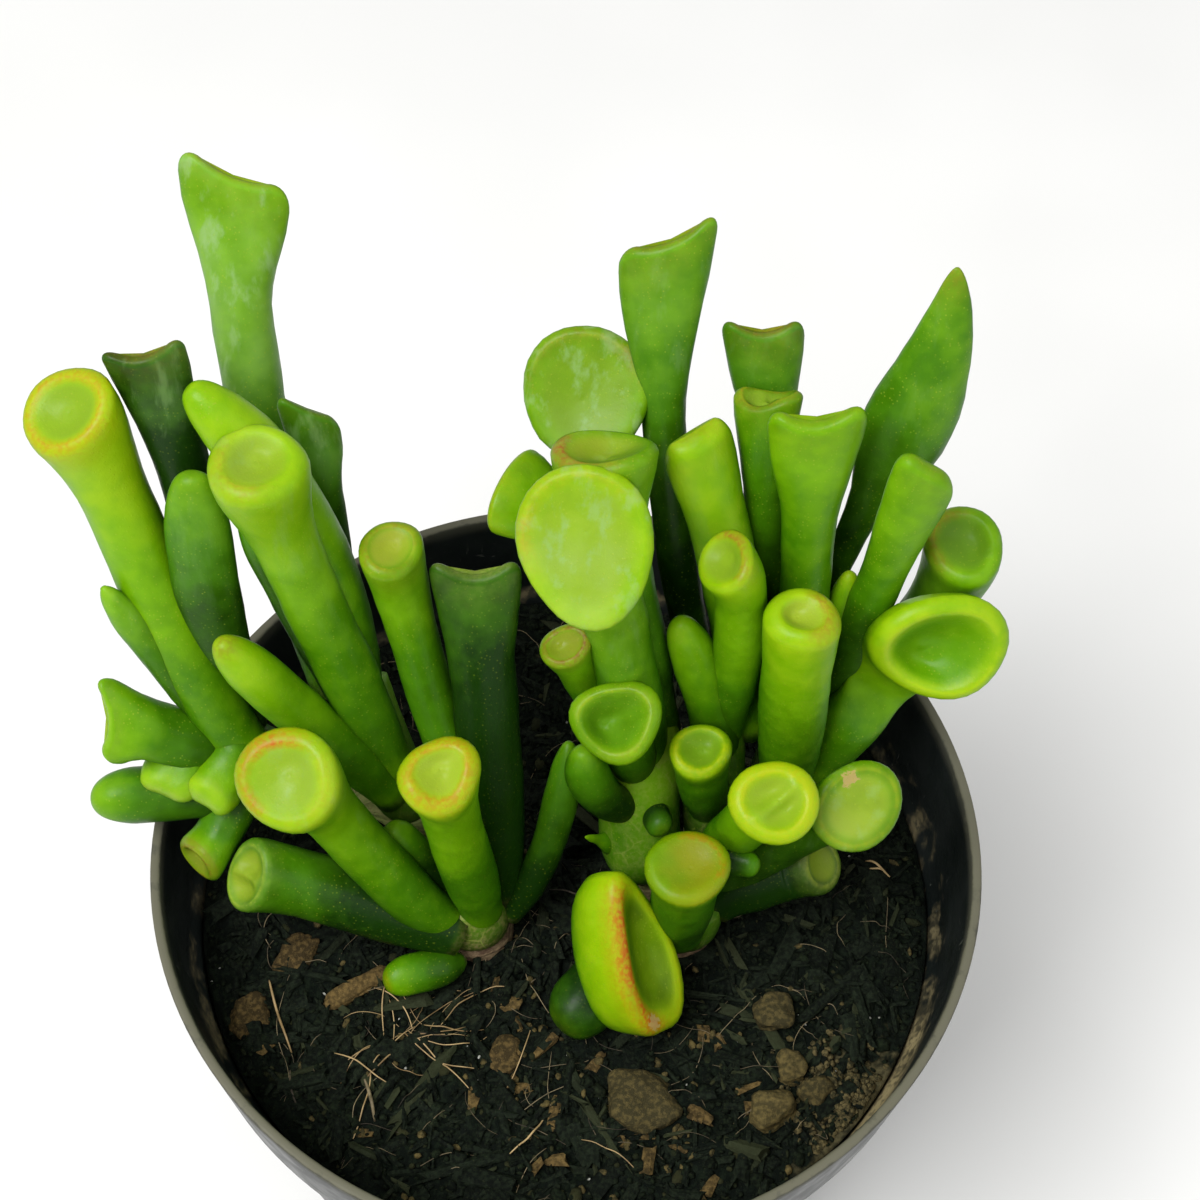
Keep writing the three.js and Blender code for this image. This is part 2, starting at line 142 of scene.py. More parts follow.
def finished(bm: BMesh, name: str, smooth: bool = True) -> Mesh:
    """Returns a mesh made from a bmesh, which is freed."""
    for face in bm.faces:
        face.smooth = smooth
    made = bpy.data.meshes.new(name)
    bm.to_mesh(made)
    bm.free()
    return made


def merge(whole: BMesh, part: Mesh) -> None:
    """Adds a mesh to a bmesh and removes it."""
    whole.from_mesh(part)
    bpy.data.meshes.remove(part)


def show(name: str, data: Optional[bpy.types.ID]) -> Object:
    """Returns a new object in the scene."""
    made = bpy.data.objects.new(name, data)
    bpy.context.scene.collection.objects.link(made)
    return made


def add_piece(mesh: Mesh, finish: Material, slot: str, *nodes: str) -> Object:
    """Adds one finished piece to the scene and ties it to the frame.

    Args:
        mesh: its mesh, in place and with the piece's name.
        finish: its material.
        slot: the name of a material slot; not used.
        nodes: the nodes of the frame that it stands for.

    Returns:
        The new object.
    """
    mesh.materials.append(finish)
    piece = show(mesh.name, mesh)
    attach(piece, "root")
    if nodes:
        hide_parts(*nodes)
    log.info("%s: %d faces", piece.name, len(mesh.polygons))
    return piece


# ---------- lofted limbs: leaves, stems, fibres ----------


@dataclass(frozen=True)
class Ring:
    """One cross-section of a limb: its place on the line, half widths in mm and masks."""

    at: float
    wide: float
    thick: float
    lift: Optional[Round] = None
    cup: float = 0.0
    rim: float = 0.0
    waver: float = 0.0           # how far the ring follows the limb's own outline
    aside: Pair = (0.0, 0.0)     # how far the ring lies beside the line, in mm
    lead: float = 0.0            # how far the ring already faces as the tip does


@dataclass(frozen=True)
class Habit:
    """How one limb differs from a plain one."""

    outline: Optional[Round] = None
    tint: Optional[Round] = None
    surface: Optional[Surface] = None


PLAIN = Habit()


@dataclass(frozen=True)
class Line:
    """A cubic curve in mm, measured from the rim's plane."""

    start: Vector
    first: Vector
    second: Vector
    end: Vector

    def point(self, at: float) -> Vector:
        """Returns the point at a share of the curve."""
        rest = 1.0 - at
        return (self.start * rest ** 3 + self.first * (3 * rest * rest * at)
                + self.second * (3 * rest * at * at) + self.end * at ** 3)

    def tangent(self, at: float) -> Vector:
        """Returns the unit direction of growth at a share of the curve."""
        rest = 1.0 - at
        slope = ((self.first - self.start) * (rest * rest) + (self.second - self.first) * (2 * rest * at)
                 + (self.end - self.second) * (at * at))
        return slope.normalized()


@dataclass(frozen=True)
class Chain:
    """A smooth curve through several points in mm."""

    points: tuple[Vector, ...]
    step: float = 0.01           # half the share over which its direction is read

    def point(self, at: float) -> Vector:
        """Returns the point at a share of the chain."""
        place = held(at) * (len(self.points) - 1)
        index = min(int(place), len(self.points) - 2)
        t = place - index
        a, b, c, d = (self.points[min(max(index + step, 0), len(self.points) - 1)]
                      for step in (-1, 0, 1, 2))
        return 0.5 * ((2 * b) + (c - a) * t + (2 * a - 5 * b + 4 * c - d) * t ** 2
                      + (3 * b - a - 3 * c + d) * t ** 3)

    def tangent(self, at: float) -> Vector:
        """Returns the unit direction at a share of the chain."""
        return (self.point(min(at + self.step, 1.0)) - self.point(max(at - self.step, 0.0))).normalized()


MASKS = ("along", "cup", "rim", "tone", "rim_hue", "blush", "flush", "bowl", "bloom", "cork", "seed")
SPARES = ("ring_cos", "ring_sin")


class Lofter:
    """Lofts closed limbs into one bmesh by extruding a circle of edges from ring to ring."""

    def __init__(self, origin: Vector) -> None:
        """Starts an empty mesh. The origin is the middle of the rim's plane, in metres."""
        self.bm = bmesh.new()
        self.origin = origin
        self.cos, self.sin = (self.bm.verts.layers.float.new(name) for name in SPARES)
        self.masks = {name: self.bm.verts.layers.float.new(name) for name in MASKS}

    def limb(self, line: Line | Chain, across: Vector, rings: Sequence[Ring], sides: int,
             marks: dict[str, float], habit: Habit = PLAIN, pole_lift: float = 0.0) -> None:
        """Lofts one closed limb.

        Args:
            line: the centre line, in mm from the rim's plane.
            across: the direction of the rings' wide half.
            rings: the cross-sections from the foot to the tip.
            sides: how many points a ring has.
            marks: mask values that are the same all over the limb.
            habit: the limb's own outline, tint and unevenness.
            pole_lift: how far the last pole moves along the line, in mm.
        """
        made = bmesh.ops.create_circle(self.bm, cap_ends=False, segments=sides, radius=1.0)["verts"]
        for vert in made:
            vert[self.cos], vert[self.sin] = vert.co.x, vert.co.y
            for name, value in marks.items():
                vert[self.masks[name]] = value
        foot = edges = list({edge for vert in made for edge in vert.link_edges})
        self._place(made, line, across, rings[0], habit)
        for ring in rings[1:]:
            out = bmesh.ops.extrude_edge_only(self.bm, edges=edges)["geom"]
            fresh = {part for part in out if isinstance(part, BMVert)}
            edges = [part for part in out if isinstance(part, BMEdge) and fresh.issuperset(part.verts)]
            self._place(fresh, line, across, ring, habit)
        self._close(foot, Vector())
        self._close(edges, line.tangent(1.0) * (pole_lift * MM))

    def _close(self, edges: list[BMEdge], push: Vector) -> None:
        """Fills a loop of edges with a fan of triangles and moves its middle."""
        face = bmesh.ops.contextual_create(self.bm, geom=edges)["faces"][0]
        rim_verts = list(face.verts)
        pole = bmesh.ops.poke(self.bm, faces=[face])["verts"][0]
        for layer in self.masks.values():
            pole[layer] = sum(vert[layer] for vert in rim_verts) / len(rim_verts)
        pole.co += push

    def _place(self, verts: Iterable[BMVert], line: Line | Chain, across: Vector, ring: Ring,
               habit: Habit) -> None:
        """Moves the points of one ring to their cross-section and marks them.

        Args:
            verts: the ring's points.
            line: the centre line.
            across: the direction of the wide half.
            ring: the cross-section.
            habit: the limb's own outline, tint and unevenness.
        """
        place = min(ring.at, 1.0)
        along = line.tangent(mix(place, 1.0, ring.lead))
        x = (across - along * across.dot(along)).normalized()
        y = x.cross(along)
        centre = line.point(place) + x * ring.aside[0] + y * ring.aside[1]
        for vert in verts:
            c, s = vert[self.cos], vert[self.sin]
            spread = 1.0 + ring.waver * habit.outline(c, s) if habit.outline else 1.0
            outward = x * (ring.wide * c * spread) + y * (ring.thick * s * spread)
            spot = centre + outward
            if ring.lift:
                spot += along * ring.lift(c, s)
            if habit.surface:
                spot = habit.surface(spot, outward)
            vert.co = self.origin + spot * MM
            vert[self.masks["along"]] = ring.at
            vert[self.masks["cup"]] = ring.cup
            vert[self.masks["rim"]] = ring.rim * (habit.tint(c, s) if habit.tint else 1.0)

    def mesh(self, name: str) -> Mesh:
        """Returns the finished mesh with outward normals and smooth shading."""
        bmesh.ops.recalc_face_normals(self.bm, faces=self.bm.faces)
        made = finished(self.bm, name)
        for spare in SPARES:
            made.attributes.remove(made.attributes[spare])
        return made


# ---------- shader building ----------


class Wire:
    """A value in a node tree, with sums and products that add their own nodes."""

    def __init__(self, graph: "Graph", socket: NodeSocket) -> None:
        """Ties a socket to its graph."""
        self.graph, self.socket = graph, socket

    def __add__(self, other: object) -> "Wire":
        """Returns the sum."""
        return self.graph.math("ADD", self, other)

    def __sub__(self, other: object) -> "Wire":
        """Returns the difference."""
        return self.graph.math("SUBTRACT", self, other)

    def __mul__(self, other: object) -> "Wire":
        """Returns the product."""
        return self.graph.math("MULTIPLY", self, other)

    def __truediv__(self, other: object) -> "Wire":
        """Returns the quotient."""
        return self.graph.math("DIVIDE", self, other)

    def most(self, other: object) -> "Wire":
        """Returns the larger value."""
        return self.graph.math("MAXIMUM", self, other)

    def clamped(self) -> "Wire":
        """Returns the value, held between 0 and 1 by the node that it comes from."""
        self.socket.node.use_clamp = True
        return self

    def span(self, low: float, high: float, to_low: float = 0.0, to_high: float = 1.0) -> "Wire":
        """Returns the value mapped smoothly from one range to another."""
        ends = {"From Min": low, "From Max": high, "To Min": to_low, "To Max": to_high}
        return self.graph.wire("ShaderNodeMapRange", "Result", {"Value": self, **ends},
                               interpolation_type="SMOOTHSTEP")

    def swing(self, low: float, high: float) -> "Wire":
        """Returns noise, which lies at about 0.3 to 0.7, mapped to a range."""
        return self.span(0.3, 0.7, low, high)


class Patches(NamedTuple):
    """The shared mottling at its three sizes."""

    broad: Wire
    fine: Wire
    grain: Wire


class Graph:
    """A node tree with short methods for its nodes."""

    def __init__(self, tree: NodeTree) -> None:
        """Takes the tree."""
        self.tree = tree

    def feed(self, node: Node, inputs: dict[object, object]) -> None:
        """Links a node's inputs to wires, or sets them to plain values."""
        for key, value in inputs.items():
            if isinstance(value, Wire):
                self.tree.links.new(value.socket, node.inputs[key])
            else:
                node.inputs[key].default_value = value

    def node(self, kind: str, inputs: Optional[dict[object, object]] = None, **settings: object) -> Node:
        """Returns a new node with its settings made and its inputs fed."""
        made = self.tree.nodes.new(kind)
        for key, value in settings.items():
            setattr(made, key, value)
        self.feed(made, inputs or {})
        return made

    def wire(self, kind: str, output: object, inputs: Optional[dict[object, object]] = None,
             **settings: object) -> Wire:
        """Returns one output of a new node."""
        return Wire(self, self.node(kind, inputs, **settings).outputs[output])

    def math(self, operation: str, a: object, b: object = 0.0) -> Wire:
        """Returns the result of one calculation."""
        return self.wire("ShaderNodeMath", 0, {0: a, 1: b}, operation=operation)


class Effect(Graph):
    """A node group that more than one finish uses: it takes a vector and values and gives masks."""

    def __init__(self, name: str, values: Sequence[str], masks: Sequence[str]) -> None:
        """Starts the group with its sockets and its two end nodes."""
        super().__init__(bpy.data.node_groups.new(name, "ShaderNodeTree"))
        self.tree.interface.new_socket(name="Vector", in_out="INPUT", socket_type="NodeSocketVector")
        for side, labels in (("INPUT", values), ("OUTPUT", masks)):
            for label in labels:
                self.tree.interface.new_socket(name=label, in_out=side, socket_type="NodeSocketFloat")
        source = self.node("NodeGroupInput")
        self.given = {label: Wire(self, source.outputs[label]) for label in ("Vector", *values)}
        self.sink = self.node("NodeGroupOutput")


class Effects:
    """Every shared effect, made once."""

    def __init__(self) -> None:
        """Builds the groups."""
        self.mottle = self._mottle()
        self.dust = self._dust()

    @staticmethod
    def _mottle() -> NodeTree:
        """Returns uneven patches at three sizes, each some times finer than the size asked for."""
        group = Effect("mottle", ("Size", "Seed"), ("Broad", "Fine", "Grain"))
        for label, finer in (("Broad", 1.0), ("Fine", 4.2), ("Grain", 17.0)):
            patch = group.wire("ShaderNodeTexNoise", "Fac",
                               {"Vector": group.given["Vector"], "W": group.given["Seed"], "Detail": 3.0,
                                "Scale": group.math("DIVIDE", finer / MM, group.given["Size"])},
                               noise_dimensions="4D")
            group.feed(group.sink, {label: patch})
        return group.tree

    @staticmethod
    def _dust() -> NodeTree:
        """Returns a mask of dust that settles in patches, more on faces that look up."""
        group = Effect("dust", ("Size", "Amount"), ("Mask",))
        patch = group.wire("ShaderNodeTexNoise", "Fac",
                           {"Vector": group.given["Vector"], "Detail": 6.0, "Roughness": 0.65,
                            "Scale": group.math("DIVIDE", 1.0 / MM, group.given["Size"])})
        normal = group.wire("ShaderNodeNewGeometry", "Normal")
        upward = group.wire("ShaderNodeSeparateXYZ", "Z", {0: normal}).most(0.0)
        spread = patch - 0.62 + upward * 0.35 + group.given["Amount"] * 0.4
        group.feed(group.sink, {"Mask": (spread * 4.0).clamped()})
        return group.tree


class Shader(Graph):
    """A material with one Principled shader."""

    def __init__(self, name: str) -> None:
        """Starts the material."""
        self.material = bpy.data.materials.new(name)
        self.material.use_nodes = True
        super().__init__(self.material.node_tree)
        self.coords = self.wire("ShaderNodeTexCoord", "Object")      # in metres

    def mask(self, name: str) -> Wire:
        """Returns one of the piece's own masks."""
        return self.wire("ShaderNodeAttribute", "Fac", attribute_name=name)

    def axis(self, name: str) -> Wire:
        """Returns the place along X, Y or Z above the middle of the pot's foot, in mm."""
        return self.wire("ShaderNodeSeparateXYZ", name, {0: self.coords}) / MM

    def near(self, place: Point, radius: float) -> Wire:
        """Returns the distance to a place in mm from the rim's plane, as a share of a radius in mm."""
        spot = (place[0] * MM, place[1] * MM, (place[2] + RIM_HEIGHT) * MM)
        away = self.wire("ShaderNodeVectorMath", "Value", {0: self.coords, 1: spot}, operation="DISTANCE")
        return away / (radius * MM)

    def patches(self, effects: Effects, size: float, seed: object) -> Patches:
        """Returns the shared mottling, with broad patches of one size in mm."""
        made = self.node("ShaderNodeGroup", node_tree=effects.mottle)
        self.feed(made, {"Vector": self.coords, "Size": size, "Seed": seed})
        return Patches(*(Wire(self, made.outputs[label]) for label in ("Broad", "Fine", "Grain")))

    def blend(self, share: object, a: object, b: object, mode: str = "MIX") -> Wire:
        """Returns two colours mixed by a share."""
        return self.wire("ShaderNodeMix", 2, {0: share, 6: a, 7: b}, data_type="RGBA", blend_type=mode)

    def noise(self, size: float, detail: float = 3.0, roughness: float = 0.55,
              stretch: Point = (1.0, 1.0, 1.0), shift: float = 0.0) -> Wire:
        """Returns noise with features of about one size.

        Args:
            size: the size of a feature, in mm.
            detail: how many finer layers it has.
            roughness: how strong the finer layers are.
            stretch: factors for the three axes.
            shift: an offset that makes one noise differ from the next.

        Returns:
            The noise, about 0.3 to 0.7.
        """
        place = self.wire("ShaderNodeMapping", "Vector", {"Vector": self.coords, "Scale": stretch})
        return self.wire("ShaderNodeTexNoise", "Fac",
                         {"Vector": place, "W": shift, "Scale": 1.0 / (size * MM), "Detail": detail,
                          "Roughness": roughness}, noise_dimensions="4D")

    def cells(self, size: float, feature: str = "F1") -> Wire:
        """Returns the distance in a pattern of cells of about one size in mm."""
        return self.wire("ShaderNodeTexVoronoi", "Distance",
                         {"Vector": self.coords, "Scale": 1.0 / (size * MM)}, feature=feature)

    def ramp(self, value: Wire, stops: Sequence[tuple[float, Colour]]) -> Wire:
        """Returns a colour read from a ramp of stops."""
        made = self.node("ShaderNodeValToRGB", {"Fac": value})
        elements = made.color_ramp.elements
        while len(elements) < len(stops):
            elements.new(0.5)
        for element, (place, colour) in zip(elements, stops):
            element.position, element.color = place, colour
        return Wire(self, made.outputs["Color"])

    def bump(self, height: Wire, depth: float, strength: float = 1.0, under: Optional[Wire] = None) -> Wire:
        """Returns a normal bumped by a height, depth in mm."""
        inputs = {"Strength": strength, "Distance": depth * MM, "Height": height}
        return self.wire("ShaderNodeBump", "Normal", {**inputs, "Normal": under} if under else inputs)

    def paint(self, colour: object, roughness: object, normal: Optional[Wire] = None,
              **constants: object) -> Material:
        """Feeds the shader and returns the material.

        Args:
            colour: the base colour.
            roughness: the roughness.
            normal: the bumped normal.
            constants: other sockets, named with underscores for spaces.

        Returns:
            The finished material.
        """
        inputs = {"Base Color": colour, "Roughness": roughness}
        if normal:
            inputs["Normal"] = normal
        for key, value in constants.items():
            inputs[key.replace("_", " ")] = value
        self.feed(self.tree.nodes["Principled BSDF"], inputs)
        return self.material


# ---------- the leaves ----------


class Kind(Enum):
    """How a leaf ends."""

    CUP = "cup"
    NOTCH = "notch"
    FINGER = "finger"


class Tone(Enum):
    """How far a leaf's flesh has gone from deep green to lime."""

    DEEP = -0.04
    SHADE = 0.2
    GREEN = 0.31
    LEAFY = 0.42
    SPRING = 0.62
    LIME = 0.74


class Lip(Enum):
    """The tint of a leaf's lip or tip, from pale cork to red."""

    PALE = 0.05
    YELLOW = 0.3
    OLIVE = 0.44
    ORANGE = 0.58
    RED = 0.8
    BROWN = 0.97


DEEP, SHADE, GREEN, LEAFY, SPRING, LIME = Tone
PALE, YELLOW, OLIVE, ORANGE, RED, BROWN = Lip

STALK_ROWS = 22                  # rings along each stretch of a leaf
LIP_ROWS = 6
BOWL_ROWS = 9
SADDLE_ROWS = 8
CLOSED_ROWS = 30
LEAF_SIDES = 32                  # points round a leaf's ring
FOOT_WIDTH = 0.8                 # of a leaf, as a share of its stalk's
STALK_FLAT = 0.92                # thickness where a leaf doesn't say, as a share of the width
FINGER_FLAT = 0.9
CUP_WAVER = 0.035                # unevenness of a cup's outline, as a share of its width
TIP_WAVER = 0.02
CREASE = 0.28                    # width of a fold across the bowl, as a share of the cup
THINNEST = 0.02                  # half width that a closed tip ends in, in mm
FAINT = 0.15                     # how much of the tint the far side of a lip has

STEM_ROWS = 6                    # rings between two of a stem's points
STEM_SIDES = 28
STEM_ACROSS = Vector((1.0, 0.01, 0.02))    # where the first point of a stem's rings lies


@dataclass(frozen=True)
class Leaf:
    """One leaf. Places are in mm from the rim's plane, directions are azimuth and rise.

    A side's amount is a share of the cup's narrow half.
    """

    kind: Kind
    foot: Point
    tip: Point
    stalk: float                 # half width, in mm
    cup: Pair = (0.0, 0.0)       # half widths of the tip, in mm
    face: Pair = (-90.0, 40.0)   # the way the tip looks
    wide: Optional[Pair] = None  # the way the wide half points, where it isn't square to the face
    bow: Point = (0.0, 0.0, 0.0)
    sweep: Point = (0.0, 0.0, 0.0)   # what its upper half bows beyond that
    neck: float = 0.25           # share of the leaf that points as the cup does
    horn: float = 0.0            # how far both wide sides are drawn up, in mm
    slant: float = 0.0           # how far one of them is, in mm
    lean: float = 0.0            # like the slant, but across the narrow half
    flat: Optional[float] = None     # thickness, as a share of the width
    hollow: float = 0.32         # depth of the bowl, as a share of the cup
    lip_round: float = 0.24      # radius of the lip, as a share of the cup
    fold: Side = (0.0, 90.0)     # a fold across the bowl
    off: Side = (0.0, 0.0)       # how far the bowl lies off the middle
    thin: float = 0.55           # thickness of a notched tip, as a share of the leaf's own
    corner: float = 0.42         # width of a notched tip's rounded corner, as a share of its half
    flare: float = 0.68          # share of the stalk from which it widens
    end: float = 1.0             # width at a closed tip, in stalk widths
    belly: float = 0.7           # share of the leaf from which a closed tip narrows
    point: float = 0.5           # how bluntly it does
    form: Sequence[Pair] = ()    # widths along the leaf, in stalk widths
    heel: float = 0.0            # share of the leaf over which its foot rounds off
    turned: Pair = (0.5, 1.0)    # where along a cup's stalk its rings turn to face as the cup does
    dip: Side = (0.0, 90.0)      # how far the lip sinks
    egg: Side = (0.0, 0.0)       # how much the cup narrows
    bulge: Side = (0.0, 0.0)     # how far the cup swells out
    tone: Tone = LEAFY
    lip: Lip = YELLOW
    blush: float = 0.4           # how strongly the lip is tinted
    blush_at: Optional[float] = None
    flush: float = 0.0           # how far the tint spreads over the whole tip
    bowl: float = 0.5            # from a bowl with painted shade, darker than the flesh, to a pale one
    bloom: float = 0.0           # pale waxy bloom
    sway: float = 0.2            # unevenness of the flesh, in mm

    def line(self) -> Line:
        """Returns the centre line."""
        start, end, bow = Vector(self.foot), Vector(self.tip), Vector(self.bow)
        second = start.lerp(end, 0.7) + bow + Vector(self.sweep)
        if self.kind is Kind.CUP:
            second = end - heading(*self.face) * (self.neck * (end - start).length)
        return Line(start, start.lerp(end, 0.35) + bow, second, end)

    def across(self) -> Vector:
        """Returns the direction of the wide half of the rings."""
        if self.wide:
            return heading(*self.wide)
        growth = (Vector(self.tip) - Vector(self.foot)).normalized()
        side = growth.cross(heading(*self.face))
        return side.normalized() if side.length > 0.15 else Vector((1.0, 0.0, 0.0))

    def rings(self) -> list[Ring]:
        """Returns the cross-sections from foot to tip."""
        if self.kind is Kind.FINGER:
            return self._closed_rings()
        return self._stalk_rings() + (self._lip_rings() if self.kind is Kind.CUP else self._saddle_rings())

    def marks(self, draw: random.Random) -> dict[str, float]:
        """Returns the masks that are the same all over the leaf."""
        return {"tone": self.tone.value + draw.uniform(-0.03, 0.03), "rim_hue": self.lip.value,
                "blush": self.blush, "flush": self.flush, "bowl": self.bowl, "bloom": self.bloom,
                "seed": draw.random()}

    def habit(self, draw: random.Random, surface: Surface) -> Habit:
        """Returns the leaf's own uneven outline and the side that its tint is on.

        Args:
            draw: the shoot's dice.
            surface: swells and dents the flesh.

        Returns:
            The leaf's habit.
        """
        second, third = draw.uniform(0.0, 6.28), draw.uniform(0.0, 6.28)
        size = CUP_WAVER if self.kind is Kind.CUP else TIP_WAVER

        def outline(cos: float, sin: float) -> float:
            """Returns how far the outline stands out at one side of a ring."""
            angle = math.atan2(sin, cos)
            pointed = self.egg[0] * math.cos(3 * (angle - math.radians(self.egg[1])))
            swollen = self.bulge[0] * max(towards(cos, sin, self.bulge[1]), 0.0) ** 3
            uneven = math.cos(2 * angle + second) + 0.7 * math.cos(3 * angle + third)
            return size * uneven + pointed + swollen

        def tint(cos: float, sin: float) -> float:
            """Returns how much of the tint one side of a ring has."""
            return mix(FAINT, 1.0, ease(towards(cos, sin, self.blush_at), -0.2, 0.75))

        return Habit(outline, None if self.blush_at is None else tint, surface)

    def pole_lift(self) -> float:
        """Returns how much deeper the middle of the bowl lies than its last ring."""
        return -0.01 * min(self.cup) if self.kind is Kind.CUP else 0.0

    @property
    def _mouth(self) -> Pair:
        """Returns the tip's half widths, in mm."""
        wide, tall = self.cup
        return (wide, tall) if self.kind is Kind.CUP else (wide, tall * self.thin)

    @property
    def _lip(self) -> float:
        """Returns the radius of the lip, in mm."""
        return min(self._mouth) * (self.lip_round if self.kind is Kind.CUP else 0.95)

    def _last(self) -> float:
        """Returns the share of the line at which the lip starts to round over."""
        line = self.line()
        return 1.0 - 1.05 * self._lip / (3.0 * (line.end - line.second).length)

    def _shift(self, share: float) -> Round:
        """Returns the shift along the line that makes horns, slants and a dipped lip.

        Args:
            share: how much of it a ring has.

        Returns:
            The shift in mm, by the side of the ring.
        """
        inner = 1.0 - 0.9 * self.corner
        corner = (1.0 - inner) * self.cup[0] if self.kind is Kind.NOTCH else 0.0

        def shift(cos: float, sin: float) -> float:
            """Returns the shift at one side of the ring, in mm."""
            low = self.dip[0] * min(self.cup) * max(towards(cos, sin, self.dip[1]), 0.0) ** 2
            past = held((abs(cos) - inner) / (1.0 - inner))
            return share * (self.horn * cos * cos + self.slant * cos + self.lean * sin - low
                            - corner * (1.0 - math.sqrt(1.0 - past * past)))

        return shift

    @staticmethod
    def _rounding(share: float, lip: float) -> Pair:
        """Returns how far an edge has turned inward, up to 1, and how far below its top it is, in mm."""
        angle = 0.5 * math.pi * share
        return 1.0 - math.cos(angle), -lip * (1.0 - math.sin(angle))

    def _stalk_rings(self) -> list[Ring]:
        """Returns the stalk, which widens to the tip."""
        wide, tall = self._mouth
        flat = self.flat or STALK_FLAT
        last, turns, rings = self._last(), float(self.kind is Kind.CUP), []
        for step in range(STALK_ROWS + 1):
            at = last * step / STALK_ROWS
            body = self.stalk * mix(FOOT_WIDTH, 1.0, ease(at, 0.0, 0.35))
            opened = ease(at, self.flare * last, last * 1.02)
            rings.append(Ring(at, mix(body, wide, opened), mix(body * flat, tall, opened),
                              self._shift(ease(at, self.flare * last, last)), waver=max(opened, 0.35),
                              rim=0.25 * ease(at, 0.9 * last, last),
                              lead=turns * ease(at, *(part * last for part in self.turned))))
        return rings

    def _lip_rings(self) -> list[Ring]:
        """Returns a lip that rounds over into the bowl."""
        wide, tall = self.cup
        narrow, lip, shift, rings = min(wide, tall), self._lip, self._shift(1.0), []
        for step in range(1, LIP_ROWS + 1):
            inward, drop = self._rounding(step / LIP_ROWS, lip)
            rings.append(Ring(1.0, wide - lip * inward, tall - lip * inward,
                              lambda cos, sin, drop=drop: drop + shift(cos, sin),
                              rim=mix(0.3, 1.0, step / LIP_ROWS), waver=1.0))
        for step in range(1, BOWL_ROWS + 1):
            at = 0.97 * step / BOWL_ROWS
            share, drop = 1.0 - at, -self.hollow * narrow * ease(at, -0.12, 0.85)

            def floor(cos: float, sin: float, share: float = share, drop: float = drop) -> float:
                """Returns the height of the bowl at one side of a ring, in mm."""
                away = share * towards(cos, sin, self.fold[1] - 90.0)
                crease = self.fold[0] * narrow * math.exp(-(away / CREASE) ** 2) * (1.0 - share ** 3)
                return drop + crease + shift(cos, sin) * share ** 0.8

            moved, side = self.off[0] * narrow * ease(at, 0.0, 0.8), math.radians(self.off[1])
            rings.append(Ring(1.0, (wide - lip) * share, (tall - lip) * share, floor,
                              cup=ease(at, 0.02, 0.3), rim=1.0 - ease(at, 0.0, 0.22), waver=1.0,
                              aside=(moved * math.cos(side), moved * math.sin(side))))
        return rings

    def _saddle_rings(self) -> list[Ring]:
        """Returns a rounded edge with soft corners that is drawn up into two horns."""
        wide, tall = self._mouth
        lip, shift, rings = self._lip, self._shift(1.0), []
        for step in range(1, SADDLE_ROWS + 1):
            share = step / SADDLE_ROWS
            inward, drop = self._rounding(share, lip)
            narrower, thinner = 1.0 - self.corner * inward, 1.0 - lip / tall * inward

            def edge(cos: float, sin: float, drop: float = drop, narrower: float = narrower,
                     thinner: float = thinner) -> float:
                """Returns the height of the edge at one side of a ring, in mm."""
                return drop + shift(cos * narrower, sin * thinner)

            rings.append(Ring(1.0, wide * narrower, tall * thinner, edge,
                              rim=0.8 * ease(share, 0.05, 0.8), waver=1.0 - share))
        return rings

    def _closed_rings(self) -> list[Ring]:
        """Returns a stalk that closes into a round or pointed tip."""
        flat, rings = self.flat or FINGER_FLAT, []
        for step in range(CLOSED_ROWS):
            at = math.sin(0.5 * math.pi * step / CLOSED_ROWS)
            swell = through(self.form, at) if self.form else mix(1.0, self.end, ease(at, 0.2, self.belly))
            past = max((at - self.belly) / (1.0 - self.belly), 0.0)
            body = self.stalk * mix(FOOT_WIDTH, swell, ease(at, 0.0, 0.3)) * (1.0 - past * past) ** self.point
            if at < self.heel:
                body *= max(1.0 - (1.0 - at / self.heel) ** 2, 0.04) ** 0.5
            rings.append(Ring(at, max(body, THINNEST), max(body * flat, THINNEST),
                              self._shift(ease(at, 0.5, 1.0)), rim=0.7 * ease(at, 0.9, 1.0), waver=0.7))
        return rings


def trumpet(foot: Point, tip: Point, face: Pair, stalk: float, cup: Pair, **form: object) -> Leaf:
    """Returns a leaf that ends in a cup."""
    return Leaf(Kind.CUP, foot, tip, stalk, cup, face, **form)


def notched(foot: Point, tip: Point, face: Pair, stalk: float, cup: Pair, **form: object) -> Leaf:
    """Returns a leaf that ends in a notch between two horns."""
    return Leaf(Kind.NOTCH, foot, tip, stalk, cup, face, **{"lean": 0.7, **form})


def finger(foot: Point, tip: Point, stalk: float, **form: object) -> Leaf:
    """Returns a leaf with a closed tip."""
    return Leaf(Kind.FINGER, foot, tip, stalk, **{"blush": 0.12, **form})


def loft_stem(lofter: Lofter, points: Sequence[Joint], marks: dict[str, float], shape: Surface) -> None:
    """Lofts a stem through its points."""
    line = Chain(tuple(Vector(point[:3]) for point in points))
    radii = [(index / (len(points) - 1), point[3]) for index, point in enumerate(points)]
    steps = STEM_ROWS * (len(points) - 1)
    rings = [Ring(step / steps, through(radii, step / steps), through(radii, step / steps))
             for step in range(steps + 1)]
    lofter.limb(line, STEM_ACROSS, rings, STEM_SIDES, marks, Habit(surface=shape))


